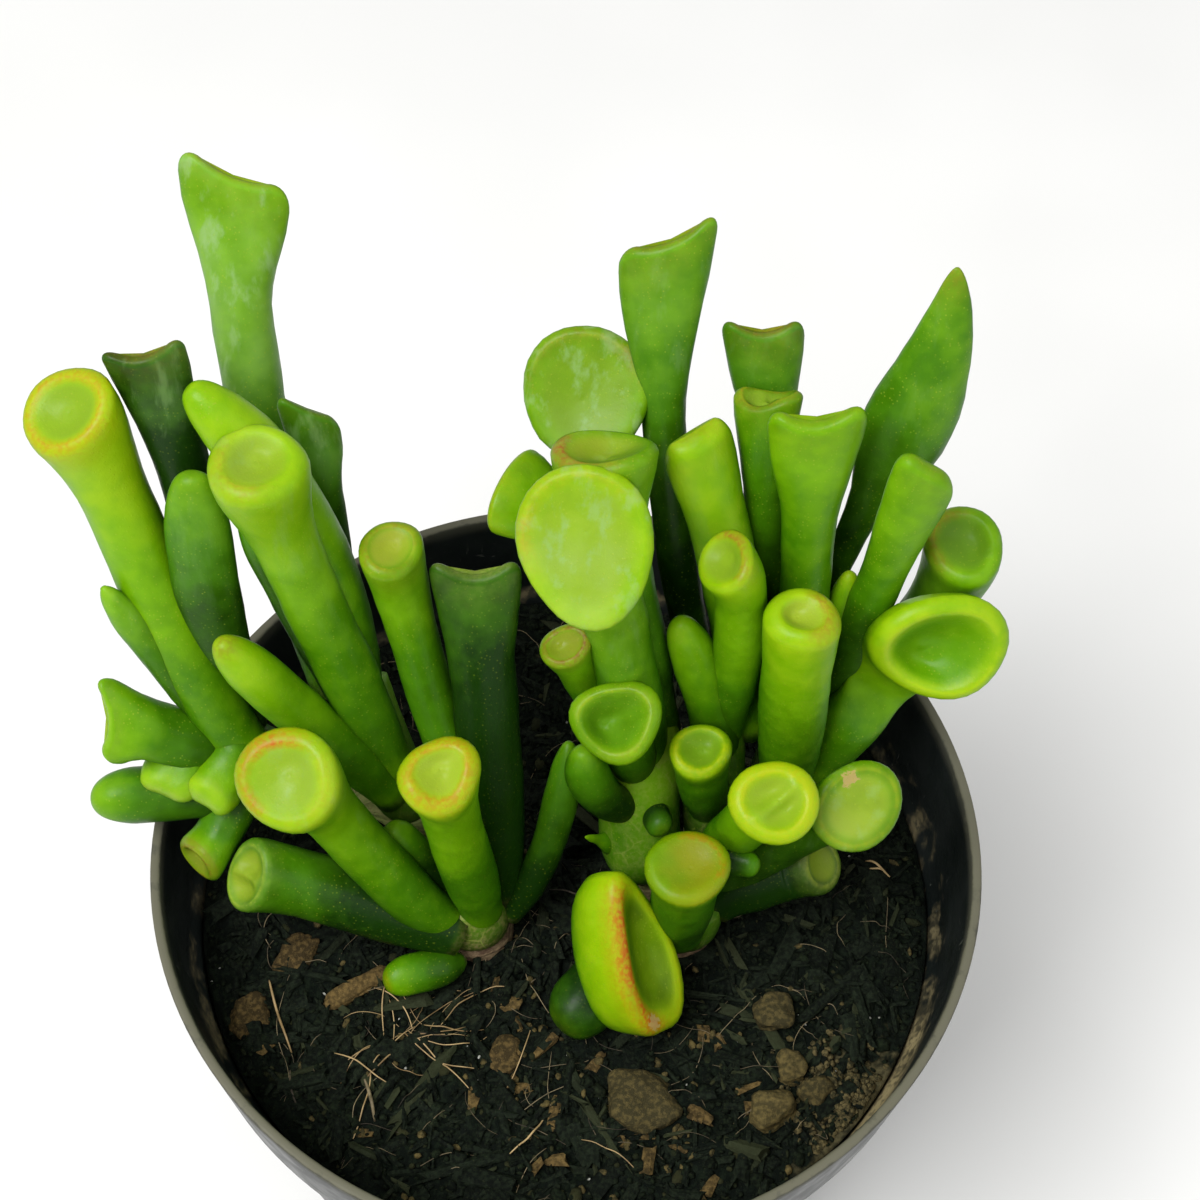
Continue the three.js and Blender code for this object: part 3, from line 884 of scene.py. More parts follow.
@dataclass
class Shoot:
    """A leafy shoot: its own green stems and its leaves, as one piece."""

    name: str
    stems: Sequence[Sequence[Joint]]
    leaves: Sequence[Leaf]
    seed: int = 1
    stem_tone: Tone = LEAFY
    stem_cork: float = 0.2
    stem_sway: float = 0.25      # unevenness of the stems, in mm

    def build(self, flesh: Material, origin: Vector) -> Object:
        """Builds the shoot.

        Args:
            flesh: the leaves' material.
            origin: the middle of the rim's plane, in metres.

        Returns:
            The piece.
        """
        draw, lofter = random.Random(self.seed), Lofter(origin)
        for points in self.stems:
            marks = {"tone": self.stem_tone.value, "cork": self.stem_cork, "seed": draw.random()}
            loft_stem(lofter, points, marks, self._uneven(draw, self.stem_sway))
        for leaf in self.leaves:
            marks = leaf.marks(draw)
            habit = leaf.habit(draw, self._uneven(draw, leaf.sway))
            lofter.limb(leaf.line(), leaf.across(), leaf.rings(), LEAF_SIDES, marks, habit, leaf.pole_lift())
        return add_piece(lofter.mesh(self.name.replace("shoot", "leaves")), flesh, "leaf", self.name)

    @staticmethod
    def _uneven(draw: random.Random, depth: float) -> Surface:
        """Returns a function that swells and dents a limb's surface by a depth in mm."""
        shift = draw.random() * 50.0
        offset = Vector((shift, -shift, 0.5 * shift))

        def move(spot: Vector, outward: Vector) -> Vector:
            """Returns the moved surface point."""
            if outward.length < 0.4:
                return spot
            swell = noise.noise(spot * 0.16 + offset) + 0.4 * noise.noise(spot * 0.45 - offset)
            return spot + outward.normalized() * (swell * depth)

        return move


PADDLE = (                       # widths of a leaf that broadens past its middle
    (0, 0.6), (0.3, 0.66), (0.42, 0.75), (0.5, 0.98), (0.54, 1.3), (0.58, 1.66), (0.63, 1.92),
    (0.7, 1.9), (0.78, 1.58), (0.89, 1.0), (0.95, 0.7), (1, 0.5),
)

SHOOTS = (
    Shoot("left_front_shoot", [[(-11.5, -5, -12.5, 4.2), (-11.5, -5, -10, 4.8), (-12, -5, -6, 3.2)]], [
        trumpet((-14, -7, -9), (-31, -8, 26), (-105, 50), 3.5, (6.1, 5.8), bow=(0, -2, -4), hollow=0.24,
                lip_round=0.27, dip=(0.12, -60), off=(0.1, -40), tone=SPRING, lip=ORANGE, blush=1.15,
                blush_at=-125, bowl=0.65, bloom=0.2),
        trumpet((-13, -8, -9.5), (-37.6, -7.8, 2.6), (-145, 38), 4.1, (4.7, 3.7), hollow=0.34, lip_round=0.24,
                fold=(0.3, 80), tone=SHADE, lip=PALE, blush=0.25, bowl=0.8),
        finger((-11.9, -10.6, -12.2), (-21.6, -14.6, -10.4), 2.45, form=((0, 0.95), (0.5, 1.06), (1, 1)),
               point=0.4, heel=0.3, lip=ORANGE, blush=0.5),
        trumpet((-10, -6, -9), (-14, -7, 28), (-95, 80), 3.4, (4.7, 4.3), hollow=0.3, lip_round=0.36,
                dip=(0.3, 100), egg=(0.03, 90), off=(0.14, -60), flare=0.74, tone=SPRING, lip=ORANGE,
                blush=0.5, bowl=0.9),
        trumpet((-9, -3, -8), (-20, 12, 43), (-90, 82), 2.8, (3.7, 3.5), hollow=0.26, lip_round=0.3,
                dip=(0.1, 70), off=(0.1, -50), lip=RED, blush=0.35, flush=0.16, bowl=0.9),
        notched((-8, -3, -9), (-11, 12, 38.5), (-90, 25), 3.8, (5.2, 2.8), horn=3, flare=0.74, tone=DEEP,
                lip=PALE, blush=0.3),
        finger((-7, -5, -10), (-0.2, 5.8, 13.6), 2.1, bow=(1.5, -2, -2.5), point=0.4, tone=SHADE),
        finger((-14, -4, -6), (-21, -2.5, 6.5), 2.2, point=0.4, tone=SHADE),
    ], seed=11, stem_tone=SHADE, stem_cork=0.7),
    Shoot("left_back_shoot", [[(-19, 4, 0, 2.8), (-21, 5, 4, 3.6), (-23, 8, 9, 3.6), (-25, 13, 14, 3)]], [
        finger((-21, 3, 4), (-38.5, 3.5, 36), 3, point=0.4, tone=SPRING, lip=BROWN, blush=0.55),
        trumpet((-21, 5, 6), (-33.2, 12, 57.6), (-98, 86), 3.5, (5.5, 5), neck=0.2, hollow=0.3,
                lip_round=0.32, off=(0.14, -50), dip=(0.1, 30), tone=SPRING, lip=RED, blush=0.28,
                blush_at=-175, bowl=0.7, bloom=0.2),
        finger((-23, 7, 9), (-36, 14, 48), 2.2, bow=(-1, 0, 0), tone=SHADE),
        finger((-25, 9, 12), (-40.8, 19, 60.2), 3.7, bow=(5, 0, 6), point=0.42, belly=0.72, tone=SPRING),
        notched((-28.5, 13, 12), (-37.4, 40, 69.6), (-90, 20), 3.4, (5.8, 2.6), horn=2, slant=-1.9,
                bow=(-3.5, 0, 0), flare=0.76, lip=RED, blush=0.3, bloom=0.75),
        notched((-26.5, 13, 12), (-29.6, 24, 51.2), (-70, 20), 2.1, (3.1, 2.3), horn=0.6, slant=-2.6,
                bow=(0.6, 0, 0), flare=0.7, tone=SHADE, lip=RED, blush=0.25, bloom=0.4),
    ], seed=12),
    Shoot("left_outer_shoot", [[(-34, 6, 5, 2.7), (-37, 6, 7, 3.8), (-41, 6, 11, 3.4)]], [
        trumpet((-37, 4, 9), (-54, 18, 57), (-130, 60), 3.9, (5.4, 5), neck=0.15, bow=(-3.6, 0, -2),
                hollow=0.25, lip_round=0.26, tone=LIME, lip=ORANGE, blush=0.45),
        notched((-40, 10, 12), (-45.5, 22, 61.5), (-90, 20), 3, (4.6, 2.4), horn=2.6, slant=0.4,
                bow=(1, 2, 0), tone=DEEP, lip=RED, blush=0.3, bloom=0.3),
        trumpet((-38.5, 3, 6), (-44, -5.6, 1.6), (-130, 5), 2.9, (3.3, 3), neck=0.3, hollow=0.34,
                lip_round=0.3, off=(0.15, 60), lip=BROWN, blush=0.6, flush=0.35),
        finger((-39, 8, 11), (-40.6, 14.5, 51.4), 3.7, flat=0.7, point=0.35, bow=(-1.5, 0, 0), tone=GREEN,
               bloom=0.1),
        finger((-38, 3, 5), (-56, -1.5, 8.5), 3.4, tone=GREEN),
        finger((-41, 6, 12), (-52, 10, 36), 2, bloom=0.4),
        notched((-40, 5, 10), (-53, 3, 19), (-90, 50), 3.6, (4.6, 2.4), slant=2, horn=2.2, sway=0.45,
                lip=PALE, blush=0.3),
        finger((-46.5, 5, 17), (-50.2, 3, 12.4), 1.6, end=0.7, sway=0.3),
        notched((-42.5, 8, 13), (-47.4, -1.2, 9.6), (0, 90), 3.4, (4.1, 2.7), wide=(-8, -4), horn=1.7,
                slant=-0.6, lean=0, thin=0.9, corner=0.8, flare=0.4, sway=0.7, tone=SPRING, lip=PALE,
                blush=0.4),
        notched((-38.5, 7, 13), (-42.2, -2.4, 9.4), (0, 90), 3.2, (3.6, 2.7), wide=(20, 6), horn=1.5,
                slant=0.7, lean=0, thin=0.9, corner=0.8, flare=0.4, sway=0.7, tone=SPRING, lip=PALE,
                blush=0.4),
    ], seed=13, stem_tone=GREEN),
    Shoot("right_front_shoot", [[(14, -3.6, -12.5, 4), (15, -4.6, -9.5, 4.4), (16, -4.6, -6, 3)]], [
        trumpet((17, -1.5, -7), (23, -7, 24), (-90, 66), 3, (5, 4.8), bow=(-1.5, 3, 0), hollow=0.42,
                lip_round=0.3, fold=(0.3, 100), off=(0.1, -60), flare=0.74, tone=SPRING, blush=1.0,
                bowl=0.75),
        trumpet((18.5, -1.5, -7), (33, -4, 18), (-70, 52), 3.6, (5.2, 5.5), bow=(0, 2.5, 0), hollow=0.08,
                lip_round=0.18, flare=0.74, tone=GREEN, lip=OLIVE, blush=0.3, bowl=0.9, bloom=0.3),
        trumpet((14, -7, -9), (13.8, -10, 14.1), (-90, 84), 3.9, (5, 4.5), hollow=0.14, lip_round=0.26,
                off=(0.1, 30), lip=OLIVE, blush=1.2, blush_at=-40, flush=0.55, bowl=0.4),
        trumpet((9.5, -8.5, -11), (10.1, -14.7, -0.45), (-22, 32), 5.2, (10.7, 5.1), wide=(-60.6, -51.4),
                bow=(-6.5, -1.5, -2), neck=0.68, hollow=0.3, lip_round=0.3, flare=-0.3, egg=(0.09, 180),
                bulge=(0.2, -32), off=(0.1, -90), turned=(-0.4, 0.8), tone=LIME, lip=ORANGE, blush=1.1,
                blush_at=90, bowl=-0.8),
        finger((11, -7, -10.5), (-0.1, -19.4, -10.8), 4.1, point=0.36, tone=DEEP),
        trumpet((18, -3, -8.5), (30.9, -0.8, -2), (-30, 45), 4, (4, 3.8), bow=(0, 1, 2), hollow=0.1,
                lip_round=0.34, tone=DEEP, lip=PALE, blush=0.3, bowl=0.6),
        finger((17.8, -5, 6.4), (22.6, -6.4, 7.4), 2, end=0.8, tone=SHADE),
    ], seed=14, stem_tone=SHADE),
    Shoot("right_left_shoot", [
        [(9.5, 1, -8, 3), (9, 2, -5, 4.8), (8.5, 5, 1, 5), (9, 9, 8, 4.4), (9, 12, 11, 3)],
    ], [
        trumpet((9, 13, 9), (0.3, 27.9, 50.9), (-95, 45), 3.6, (6.8, 7.7), hollow=0.14, lip_round=0.14,
                egg=(0.03, 90), off=(0.15, 120), lip=RED, blush=0.5, blush_at=-90, bowl=0.5, bloom=0.7),
        trumpet((10, 11, 9), (2.7, 18, 53.8), (90, 68), 3.8, (5.8, 5), hollow=0.28, lip_round=0.22, horn=0.8,
                slant=-0.8, off=(0.12, 90), lip=RED, blush=0.7, blush_at=-80, flush=0.12, bowl=0.8,
                bloom=0.2),
        trumpet((9, 8, 8), (1, 8, 50), (-100, 42), 4.1, (9, 7.4), wide=(90, 48), hollow=0.13, lip_round=0.14,
                egg=(0.05, 180), off=(0.2, 0), fold=(0.05, 10), tone=SPRING, lip=ORANGE, blush=0.3,
                blush_at=-30, bowl=0.6, bloom=0.55),
        trumpet((8, 12, 10), (-7.8, 19, 44.6), (158, -6), 3, (5.6, 3.9), wide=(-112.8, 7.3), bow=(0, 0, 3),
                lip=ORANGE, blush=0.3),
        trumpet((8, 7, 5), (5, 2, 25), (-105, 58), 3.2, (5.1, 4.9), hollow=0.6, lip_round=0.26,
                dip=(0.2, 110), egg=(0.07, -35), off=(0.25, 170), fold=(-0.1, -30), lip=BROWN, blush=0.2,
                bowl=0.15),
        finger((8, 4, 2), (1.6, 1, 20), 2.7, bow=(-1.6, -1, -3), point=0.4, tone=SHADE),
        trumpet((7, 9, 6), (-1, 8, 31), (-112, 66), 2.5, (3, 2.6), hollow=0.4, lip_round=0.3, off=(0.2, -150),
                dip=(0.3, -120), lip=BROWN, blush=0.7, flush=0.25, bowl=0.7),
        finger((7.5, 2.5, -5), (2.1, -0.4, 1.8), 2.4, form=((0, 1), (0.4, 0.7), (0.7, 0.28), (1, 0.2))),
        finger((9.5, 4, 3), (11.4, -0.8, 4.8), 1.8, point=0.4, tone=DEEP),
    ], seed=15, stem_tone=SPRING, stem_cork=0.3),
    Shoot("right_middle_shoot", [
        [(17, 4, -4, 2.8), (17.5, 6, 0, 3.7), (17.6, 9.5, 7, 3.4), (17.5, 14, 11, 3)],
    ], [
        notched((16, 15, 10), (8.6, 35.1, 67.6), (-90, 25), 2.4, (5.1, 2.8), horn=2.2, slant=2.7, flare=0.62,
                bow=(-3, 0, 0), tone=GREEN, lip=RED, blush=0.35, bloom=0.2),
        trumpet((18, 10.5, 8), (15.8, 11.5, 43.5), (-165, 46), 3.2, (4, 3.6), neck=0.2, hollow=0.3,
                lip_round=0.26, off=(0.12, 180), bow=(1, 0, 0), tone=SPRING, lip=RED, blush=0.6, blush_at=-90,
                bowl=0.6),
        notched((21.5, 12, 8), (12.1, 22.3, 51.8), (-60, 30), 3.4, (4, 3), horn=0.5, slant=0.1, thin=0.8,
                bow=(1.5, 0, 0), tone=SPRING, lip=RED, blush=0.25, bloom=0.1),
        finger((17.5, 8, 5), (11.6, 12, 30.9), 2.8, bow=(2.4, 0, -3), point=0.4),
        trumpet((17, 5, 0), (15, 3, 18), (-90, 85), 3.1, (3.7, 3.4), hollow=0.35, lip_round=0.28,
                dip=(0.15, 90), off=(0.15, -40), blush=0.9, bowl=0.45),
    ], seed=16, stem_tone=GREEN),
    Shoot("right_back_shoot", [[(24, 8, -4, 2.8), (26, 11, 1, 3.8), (29, 13, 6, 3.8), (28, 17, 10, 3)]], [
        trumpet((26.2, 8, 3), (25, 8, 39), (-90, 88), 4, (4.3, 4), hollow=0.34, lip_round=0.42,
                off=(0.16, -150), tone=SPRING, lip=RED, blush=0.45, blush_at=0, bowl=0.9),
        notched((26, 18, 9), (19.4, 34, 55.1), (-90, 20), 2.9, (4.5, 2.5), horn=2.6, slant=-0.4, flare=0.74,
                tone=SHADE, lip=RED, blush=0.4, bloom=0.1),
        trumpet((24.2, 17, 8), (20.2, 27, 52.6), (85, 58), 2.4, (3.7, 2.6), horn=0.8, slant=-0.4,
                dip=(0.3, -60), hollow=0.6, lip_round=0.3, fold=(0.3, 60), tone=GREEN, lip=RED, blush=0.35,
                bowl=0.6),
        notched((27, 13, 7), (24.9, 21.2, 56.3), (-90, 20), 2.9, (5.2, 2.8), horn=2.8, slant=0.5, flare=0.66,
                thin=0.7, lean=1, lip=RED, blush=0.25),
        finger((29, 17, 9), (38.3, 31, 69.8), 2.6, flat=0.55, belly=0.9, bow=(-7, 0, -1.5),
               sweep=(11.6, 0, 0), form=PADDLE, tone=GREEN, lip=RED, blush=0.35, bloom=0.12),
        notched((30, 14, 7), (37, 17.6, 53.9), (-90, 30), 2.6, (3.6, 2.6), horn=0.3, slant=-1.6, flare=0.6,
                thin=0.7, corner=0.6, lip=BROWN, blush=0.3),
        trumpet((31, 15, 7), (43.4, 19.8, 36.9), (-118, 72), 3.8, (4.9, 4.5), neck=0.3, bow=(6, 2, 0),
                flare=0.6, hollow=0.28, lip_round=0.28, off=(0.14, -60), lip=RED, blush=0.35, blush_at=150,
                bowl=0.25, bloom=0.1),
        trumpet((29, 10, 3), (41.6, 9.4, 29.8), (-82, 26), 4, (7.7, 7.3), wide=(8, -10), neck=0.36,
                flare=0.42, hollow=0.55, lip_round=0.22, dip=(0.28, 130), egg=(0.05, 200), off=(0.24, 110),
                turned=(0.0, 0.66), tone=SPRING, blush=0.25, bowl=0),
        finger((30, 13, 7), (31, 18, 33), 2.1, blush=0.5),
    ], seed=17, stem_tone=GREEN),
)


@dataclass
class Stump:
    """A woody stem that stands in the mix and carries shoots."""

    name: str
    limbs: Sequence[Sequence[Joint]]

    def build(self, bark: Material, origin: Vector) -> Object:
        """Builds the stump as one piece."""
        lofter = Lofter(origin)
        for points in self.limbs:
            loft_stem(lofter, points, {"cork": 1.0}, self._rough)
        return add_piece(lofter.mesh(self.name.replace("stem", "stump")), bark, "bark", self.name)

    @staticmethod
    def _rough(spot: Vector, outward: Vector) -> Vector:
        """Returns a surface point with ridges round the stem, as old leaf scars leave."""
        scar = 0.12 * math.sin(3.2 * spot.z + 1.4 * noise.noise(spot * 0.3))
        return spot + outward.normalized() * (scar + 0.2 * noise.noise(spot * 0.6))


STUMPS = (
    Stump("left_stem", [
        [(-11, -5, -26, 3.6), (-11, -5, -20, 4.2), (-11, -5, -15, 4.6), (-11.5, -5, -12.5, 4.2)],
        [(-11, -5, -14, 2.6), (-13, -1, -10, 2.8), (-16, 3, -5, 2.8), (-19, 4, 0, 2.8)],
        [(-16, 3, -5, 2.4), (-23, 6, -2, 2.7), (-30, 6, 2, 2.7), (-34, 6, 5, 2.7)],
    ]),
    Stump("right_stem", [
        [(14, -3, -26, 3.8), (14, -3, -20, 4.4), (14, -3, -15, 4.9), (14, -4, -12.5, 4.4)],
        [(13, -3, -14, 2.6), (11, 0, -11, 3), (9.5, 1, -8, 3)],
        [(15, -3, -14, 2.6), (16, 2, -9, 2.8), (17, 4, -4, 2.8)],
        [(15, -2, -13.5, 2.6), (20, 4, -9, 2.8), (24, 8, -4, 2.8)],
    ]),
)


# ---------- pot ----------


def spun(profile: Sequence[Pair], steps: int) -> BMesh:
    """Spins a profile round the Z axis.

    Args:
        profile: radius and height pairs in mm, from axis to axis.
        steps: how many stretches a turn has.

    Returns:
        The closed shell.
    """
    bm = bmesh.new()
    verts = [bm.verts.new((radius * MM, 0.0, height * MM)) for radius, height in profile]
    edges = [bm.edges.new(pair) for pair in zip(verts, verts[1:])]
    bmesh.ops.spin(bm, geom=verts + edges, cent=(0, 0, 0), axis=(0, 0, 1), angle=TURN, steps=steps,
                   use_merge=True, use_duplicate=False)
    bmesh.ops.remove_doubles(bm, verts=bm.verts, dist=1e-7)
    bmesh.ops.recalc_face_normals(bm, faces=bm.faces)
    return bm


def carved(body: Mesh, tool: Mesh) -> Mesh:
    """Returns the body with the tool's space cut out of it."""
    pair = [show("carving", mesh) for mesh in (body, tool)]
    cut = pair[0].modifiers.new("cut", "BOOLEAN")
    cut.operation, cut.solver, cut.object = "DIFFERENCE", "EXACT", pair[1]
    result = bpy.data.meshes.new_from_object(pair[0].evaluated_get(bpy.context.evaluated_depsgraph_get()))
    for one in pair:
        bpy.data.objects.remove(one)
    return result


@dataclass
class Pot:
    """A thin nursery pot with a collar under its rim and drain holes. Sizes in mm."""

    height: float = RIM_HEIGHT
    rim_radius: float = 50.0
    base_radius: float = 35.0
    wall: float = 1.2
    collar: float = 15.0
    collar_taper: float = 1.9
    collar_step: float = 1.1
    round_off: float = 0.45
    shoulder_round: float = 1.0
    round_steps: int = 4
    drains: int = 6
    drain_radius: float = 3.5
    drain_ring: float = 25.0
    drain_sides: int = 40
    steps: int = 160
    longest: float = 6.0         # stretch of the outline
    sharp: float = 40.0          # angle from which an edge stays sharp, in degrees

    @property
    def inner_shoulder(self) -> Pair:
        """Returns the radius and height where the inner wall steps in under the collar."""
        return (self.rim_radius - self.collar_taper - self.collar_step - self.wall, -self.collar - self.wall)

    @property
    def inner_foot(self) -> Pair:
        """Returns the radius and height where the inner wall meets the floor."""
        return (self.base_radius - self.wall, -self.height + self.wall)

    def inner_radius(self, height: float) -> float:
        """Returns the inner wall's radius at a height below the collar."""
        (top, high), (foot, low) = self.inner_shoulder, self.inner_foot
        return mix(foot, top, (height - low) / (high - low))

    def _profile(self) -> list[Pair]:
        """Returns the wall's outline with rounded edges."""
        edge, collar_foot = self.round_off, self.rim_radius - self.collar_taper
        corners = (
            (0.0, -self.height, 0.0), (self.base_radius, -self.height, edge),
            (collar_foot - self.collar_step, -self.collar, edge), (collar_foot, -self.collar, edge),
            (self.rim_radius, 0.0, edge), (self.rim_radius - self.wall, 0.0, edge),
            (collar_foot - self.wall, self.inner_shoulder[1] + self.collar_taper, self.shoulder_round),
            (*self.inner_shoulder, self.shoulder_round), (*self.inner_foot, edge),
            (0.0, -self.height + self.wall, 0.0),
        )
        outline = [corners[0][:2]]
        for before, (radius, height, rounding), after in zip(corners, corners[1:], corners[2:]):
            here = Vector((radius, height))
            back, on = ((Vector(other[:2]) - here).normalized() for other in (before, after))
            for step in range(self.round_steps + 1):
                t = step / self.round_steps
                outline.append(tuple(here + back * (rounding * (1 - t) ** 2) + on * (rounding * t ** 2)))
        outline.append(corners[-1][:2])
        fine: list[Pair] = []
        for (r0, z0), (r1, z1) in zip(outline, outline[1:]):
            parts = max(int(math.hypot(r1 - r0, z1 - z0) / self.longest), 1)
            fine += [(mix(r0, r1, part / parts), mix(z0, z1, part / parts)) for part in range(parts)]
        return fine + [outline[-1]]

    def build(self, plastic: Material, origin: Vector) -> Object:
        """Builds the pot.

        Args:
            plastic: its material.
            origin: the middle of the rim's plane, in metres.

        Returns:
            The piece.
        """
        blank = spun(self._profile(), self.steps)
        bmesh.ops.translate(blank, verts=blank.verts, vec=origin)
        drills = bmesh.new()
        for index in range(self.drains):
            angle = (index + 0.5) / self.drains * TURN
            spot = Vector((math.cos(angle), math.sin(angle), 0.0)) * (self.drain_ring * MM)
            spot += origin - Vector((0.0, 0.0, self.height * MM))
            bmesh.ops.create_cone(drills, cap_ends=True, segments=self.drain_sides,
                                  radius1=self.drain_radius * MM, radius2=self.drain_radius * MM,
                                  depth=6 * self.wall * MM, matrix=Matrix.Translation(spot))
        mesh = carved(finished(blank, "pot_blank"), finished(drills, "pot_drills", smooth=False))
        mesh.name = "pot_shell"
        mesh.set_sharp_from_angle(angle=math.radians(self.sharp))
        mesh.materials.clear()
        return add_piece(mesh, plastic, "pot", "pot")


# ---------- potting mix ----------


@dataclass
class Mix:
    """The potting mix and what lies on it. Sizes in mm from the rim's plane."""

    pot: Pot
    origin: Vector               # the middle of the rim's plane, in metres
    level: float = -15.0
    waves: float = 0.6
    edge_drop: float = 1.0
    gap: float = 0.3
    steps: int = 260
    rows: int = 105
    relief: Sequence[tuple[float, float, Point]] = (    # height, fineness and shift of its lumps and grit
        (0.55, 0.33, (0, 0, 0)), (0.5, 0.8, (9, 4, 2)), (0.3, 2.1, (0, 0, 0)), (0.14, 4.7, (0, 0, 0)))
    crumbs: Point = (0.7, 0.62, 0.5)     # height, fineness and flatness of its crumbs
    clear: Sequence[Spread] = ((-11, -5, 4.8), (14, -3, 5.0))    # where the stems stand

    @property
    def radius(self) -> float:
        """Returns the radius of the surface."""
        return self.pot.inner_radius(self.level - self.edge_drop) - self.gap

    def place(self, x: float, y: float, height: float) -> Vector:
        """Returns a place in metres."""
        return self.origin + Vector((x, y, height)) * MM

    def ground(self, x: float, y: float) -> float:
        """Returns the smooth height of the surface."""
        slow = math.sin(0.55 * x + 0.3) * math.cos(0.47 * y) + 0.6 * math.sin(0.9 * y - 0.4 * x)
        sunk = self.edge_drop * ease(math.hypot(x, y), 0.86 * self.radius, self.radius)
        return self.level + self.waves * slow - sunk

    def surface(self, x: float, y: float) -> float:
        """Returns the height of the surface with its lumps."""
        spot = Vector((x, y, 0.0))
        lumps = sum(height * noise.noise(spot * finer + Vector(shift))
                    for height, finer, shift in self.relief)
        height, finer, flat = self.crumbs
        cell = noise.voronoi(spot * finer)[0]
        return self.ground(x, y) + lumps + height * (min(cell[1] - cell[0], flat) - 0.5 * flat)

    def build(self, peat: Material) -> Object:
        """Builds the body of the mix with its rough surface."""
        foot_radius, floor = self.pot.inner_foot[0] - self.gap, self.pot.inner_foot[1] + self.gap
        profile = [(0.0, floor), (foot_radius, floor), (self.radius, self.level - self.edge_drop)]
        profile += [(self.radius * (1.0 - row / self.rows), self.level) for row in range(1, self.rows + 1)]
        bm = spun(profile, self.steps)
        for vert in bm.verts:
            if vert.co.z / MM > self.level - 0.5 * self.edge_drop:
                vert.co.z = self.surface(vert.co.x / MM, vert.co.y / MM) * MM
        bmesh.ops.translate(bm, verts=bm.verts, vec=self.origin)
        return add_piece(finished(bm, "potting_mix"), peat, "soil", "soil")

    def free_spot(self, draw: random.Random, margin: float, near: Optional[Spread] = None) -> Pair:
        """Returns a place on the surface that no stem stands in.

        Args:
            draw: the dice.
            margin: how far it stays from the wall, in mm.
            near: a place and a spread in mm, to draw it round.

        Returns:
            The place.
        """
        while True:
            if near:
                x, y = draw.gauss(near[0], near[2]), draw.gauss(near[1], near[2])
            else:
                reach, angle = self.radius * math.sqrt(draw.random()), draw.uniform(0.0, TURN)
                x, y = reach * math.cos(angle), reach * math.sin(angle)
            inside = math.hypot(x, y) < self.radius - margin
            if inside and all(math.hypot(x - cx, y - cy) > r for cx, cy, r in self.clear):
                return x, y


@dataclass(frozen=True)
class Litter:
    """Loose grains of one kind that lie on the mix. Widths in mm."""

    name: str
    finish: str
    count: int
    low: Point                   # smallest full widths
    high: Point                  # largest full widths
    sunk: float                  # share of the height that is under the surface
    tilt: float                  # largest tilt, in degrees
    seed: int
    sides: int = 0               # sides of a splinter, none for a round grain
    near: Optional[Spread] = None
    shapes: int = 6              # how many grains differ in shape

    def build(self, bed: Mix, finish: Material) -> Object:
        """Scatters the grains over the mix as one piece.

        Args:
            bed: the mix that they lie on.
            finish: its material.

        Returns:
            The piece.
        """
        draw = random.Random(self.seed)
        shapes = [self._grain(draw) for _ in range(self.shapes)]
        bm = bmesh.new()
        for index in range(self.count):
            widths = [draw.uniform(low, high) for low, high in zip(self.low, self.high)]
            x, y = bed.free_spot(draw, 0.6 * max(widths), self.near)
            height = bed.surface(x, y) + widths[2] * (0.5 - self.sunk)
            turn = Matrix.Rotation(draw.uniform(0.0, TURN), 4, "Z")
            lean = Matrix.Rotation(math.radians(draw.uniform(-self.tilt, self.tilt)), 4, "X")
            size = Matrix.Diagonal((*[width * MM for width in widths], 1.0))
            shape = shapes[index % len(shapes)].copy()
            shape.transform(Matrix.Translation(bed.place(x, y, height)) @ turn @ lean @ size)
            seeds = shape.attributes["seed"].data
            seeds.foreach_set("value", [draw.random()] * len(seeds))
            merge(bm, shape)
        for shape in shapes:
            bpy.data.meshes.remove(shape)
        return add_piece(finished(bm, self.name, smooth=not self.sides), finish, "soil")

    def _grain(self, draw: random.Random) -> Mesh:
        """Returns one uneven grain, one unit wide: round, or a tapered splinter."""
        bm = bmesh.new()
        if self.sides:
            bmesh.ops.create_cone(bm, cap_ends=True, segments=self.sides, radius1=0.5,
                                  radius2=draw.uniform(0.2, 0.45), depth=0.95,
                                  matrix=Matrix.Rotation(math.pi / 2, 4, "Y"))
            for vert in bm.verts:
                vert.co.x += draw.uniform(-0.12, 0.12)
        else:
            bmesh.ops.create_icosphere(bm, subdivisions=1, radius=0.5)
        for vert in bm.verts:
            vert.co *= draw.uniform(0.72, 1.2) if self.sides else draw.uniform(0.82, 1.16)
        bmesh.ops.recalc_face_normals(bm, faces=bm.faces)
        bm.verts.layers.float.new("seed")
        return finished(bm, "grain")


STRAND_ACROSS = Vector((0.1, 0.2, 1.0))    # where the first point of a strand's rings lies
STRAND_END = 0.35                # how thick a strand is at its ends, as a share of its middle


def lay_strand(whole: BMesh, bed: Mix, points: Sequence[Vector], radius: float, seed: float,
               sides: int = 5) -> None:
    """Adds one thin strand through points, tapered at both ends."""
    steps = 2 * len(points)
    rings = []
    for step in range(steps + 1):
        swell = math.sin(math.pi * min(max(step / steps, 0.03), 0.97)) ** 0.4
        width = radius * mix(STRAND_END, 1.0, swell)
        rings.append(Ring(step / steps, width, width))
    lofter = Lofter(bed.origin)
    lofter.limb(Chain(tuple(points)), STRAND_ACROSS, rings, sides, {"seed": seed})
    merge(whole, lofter.mesh("strand"))


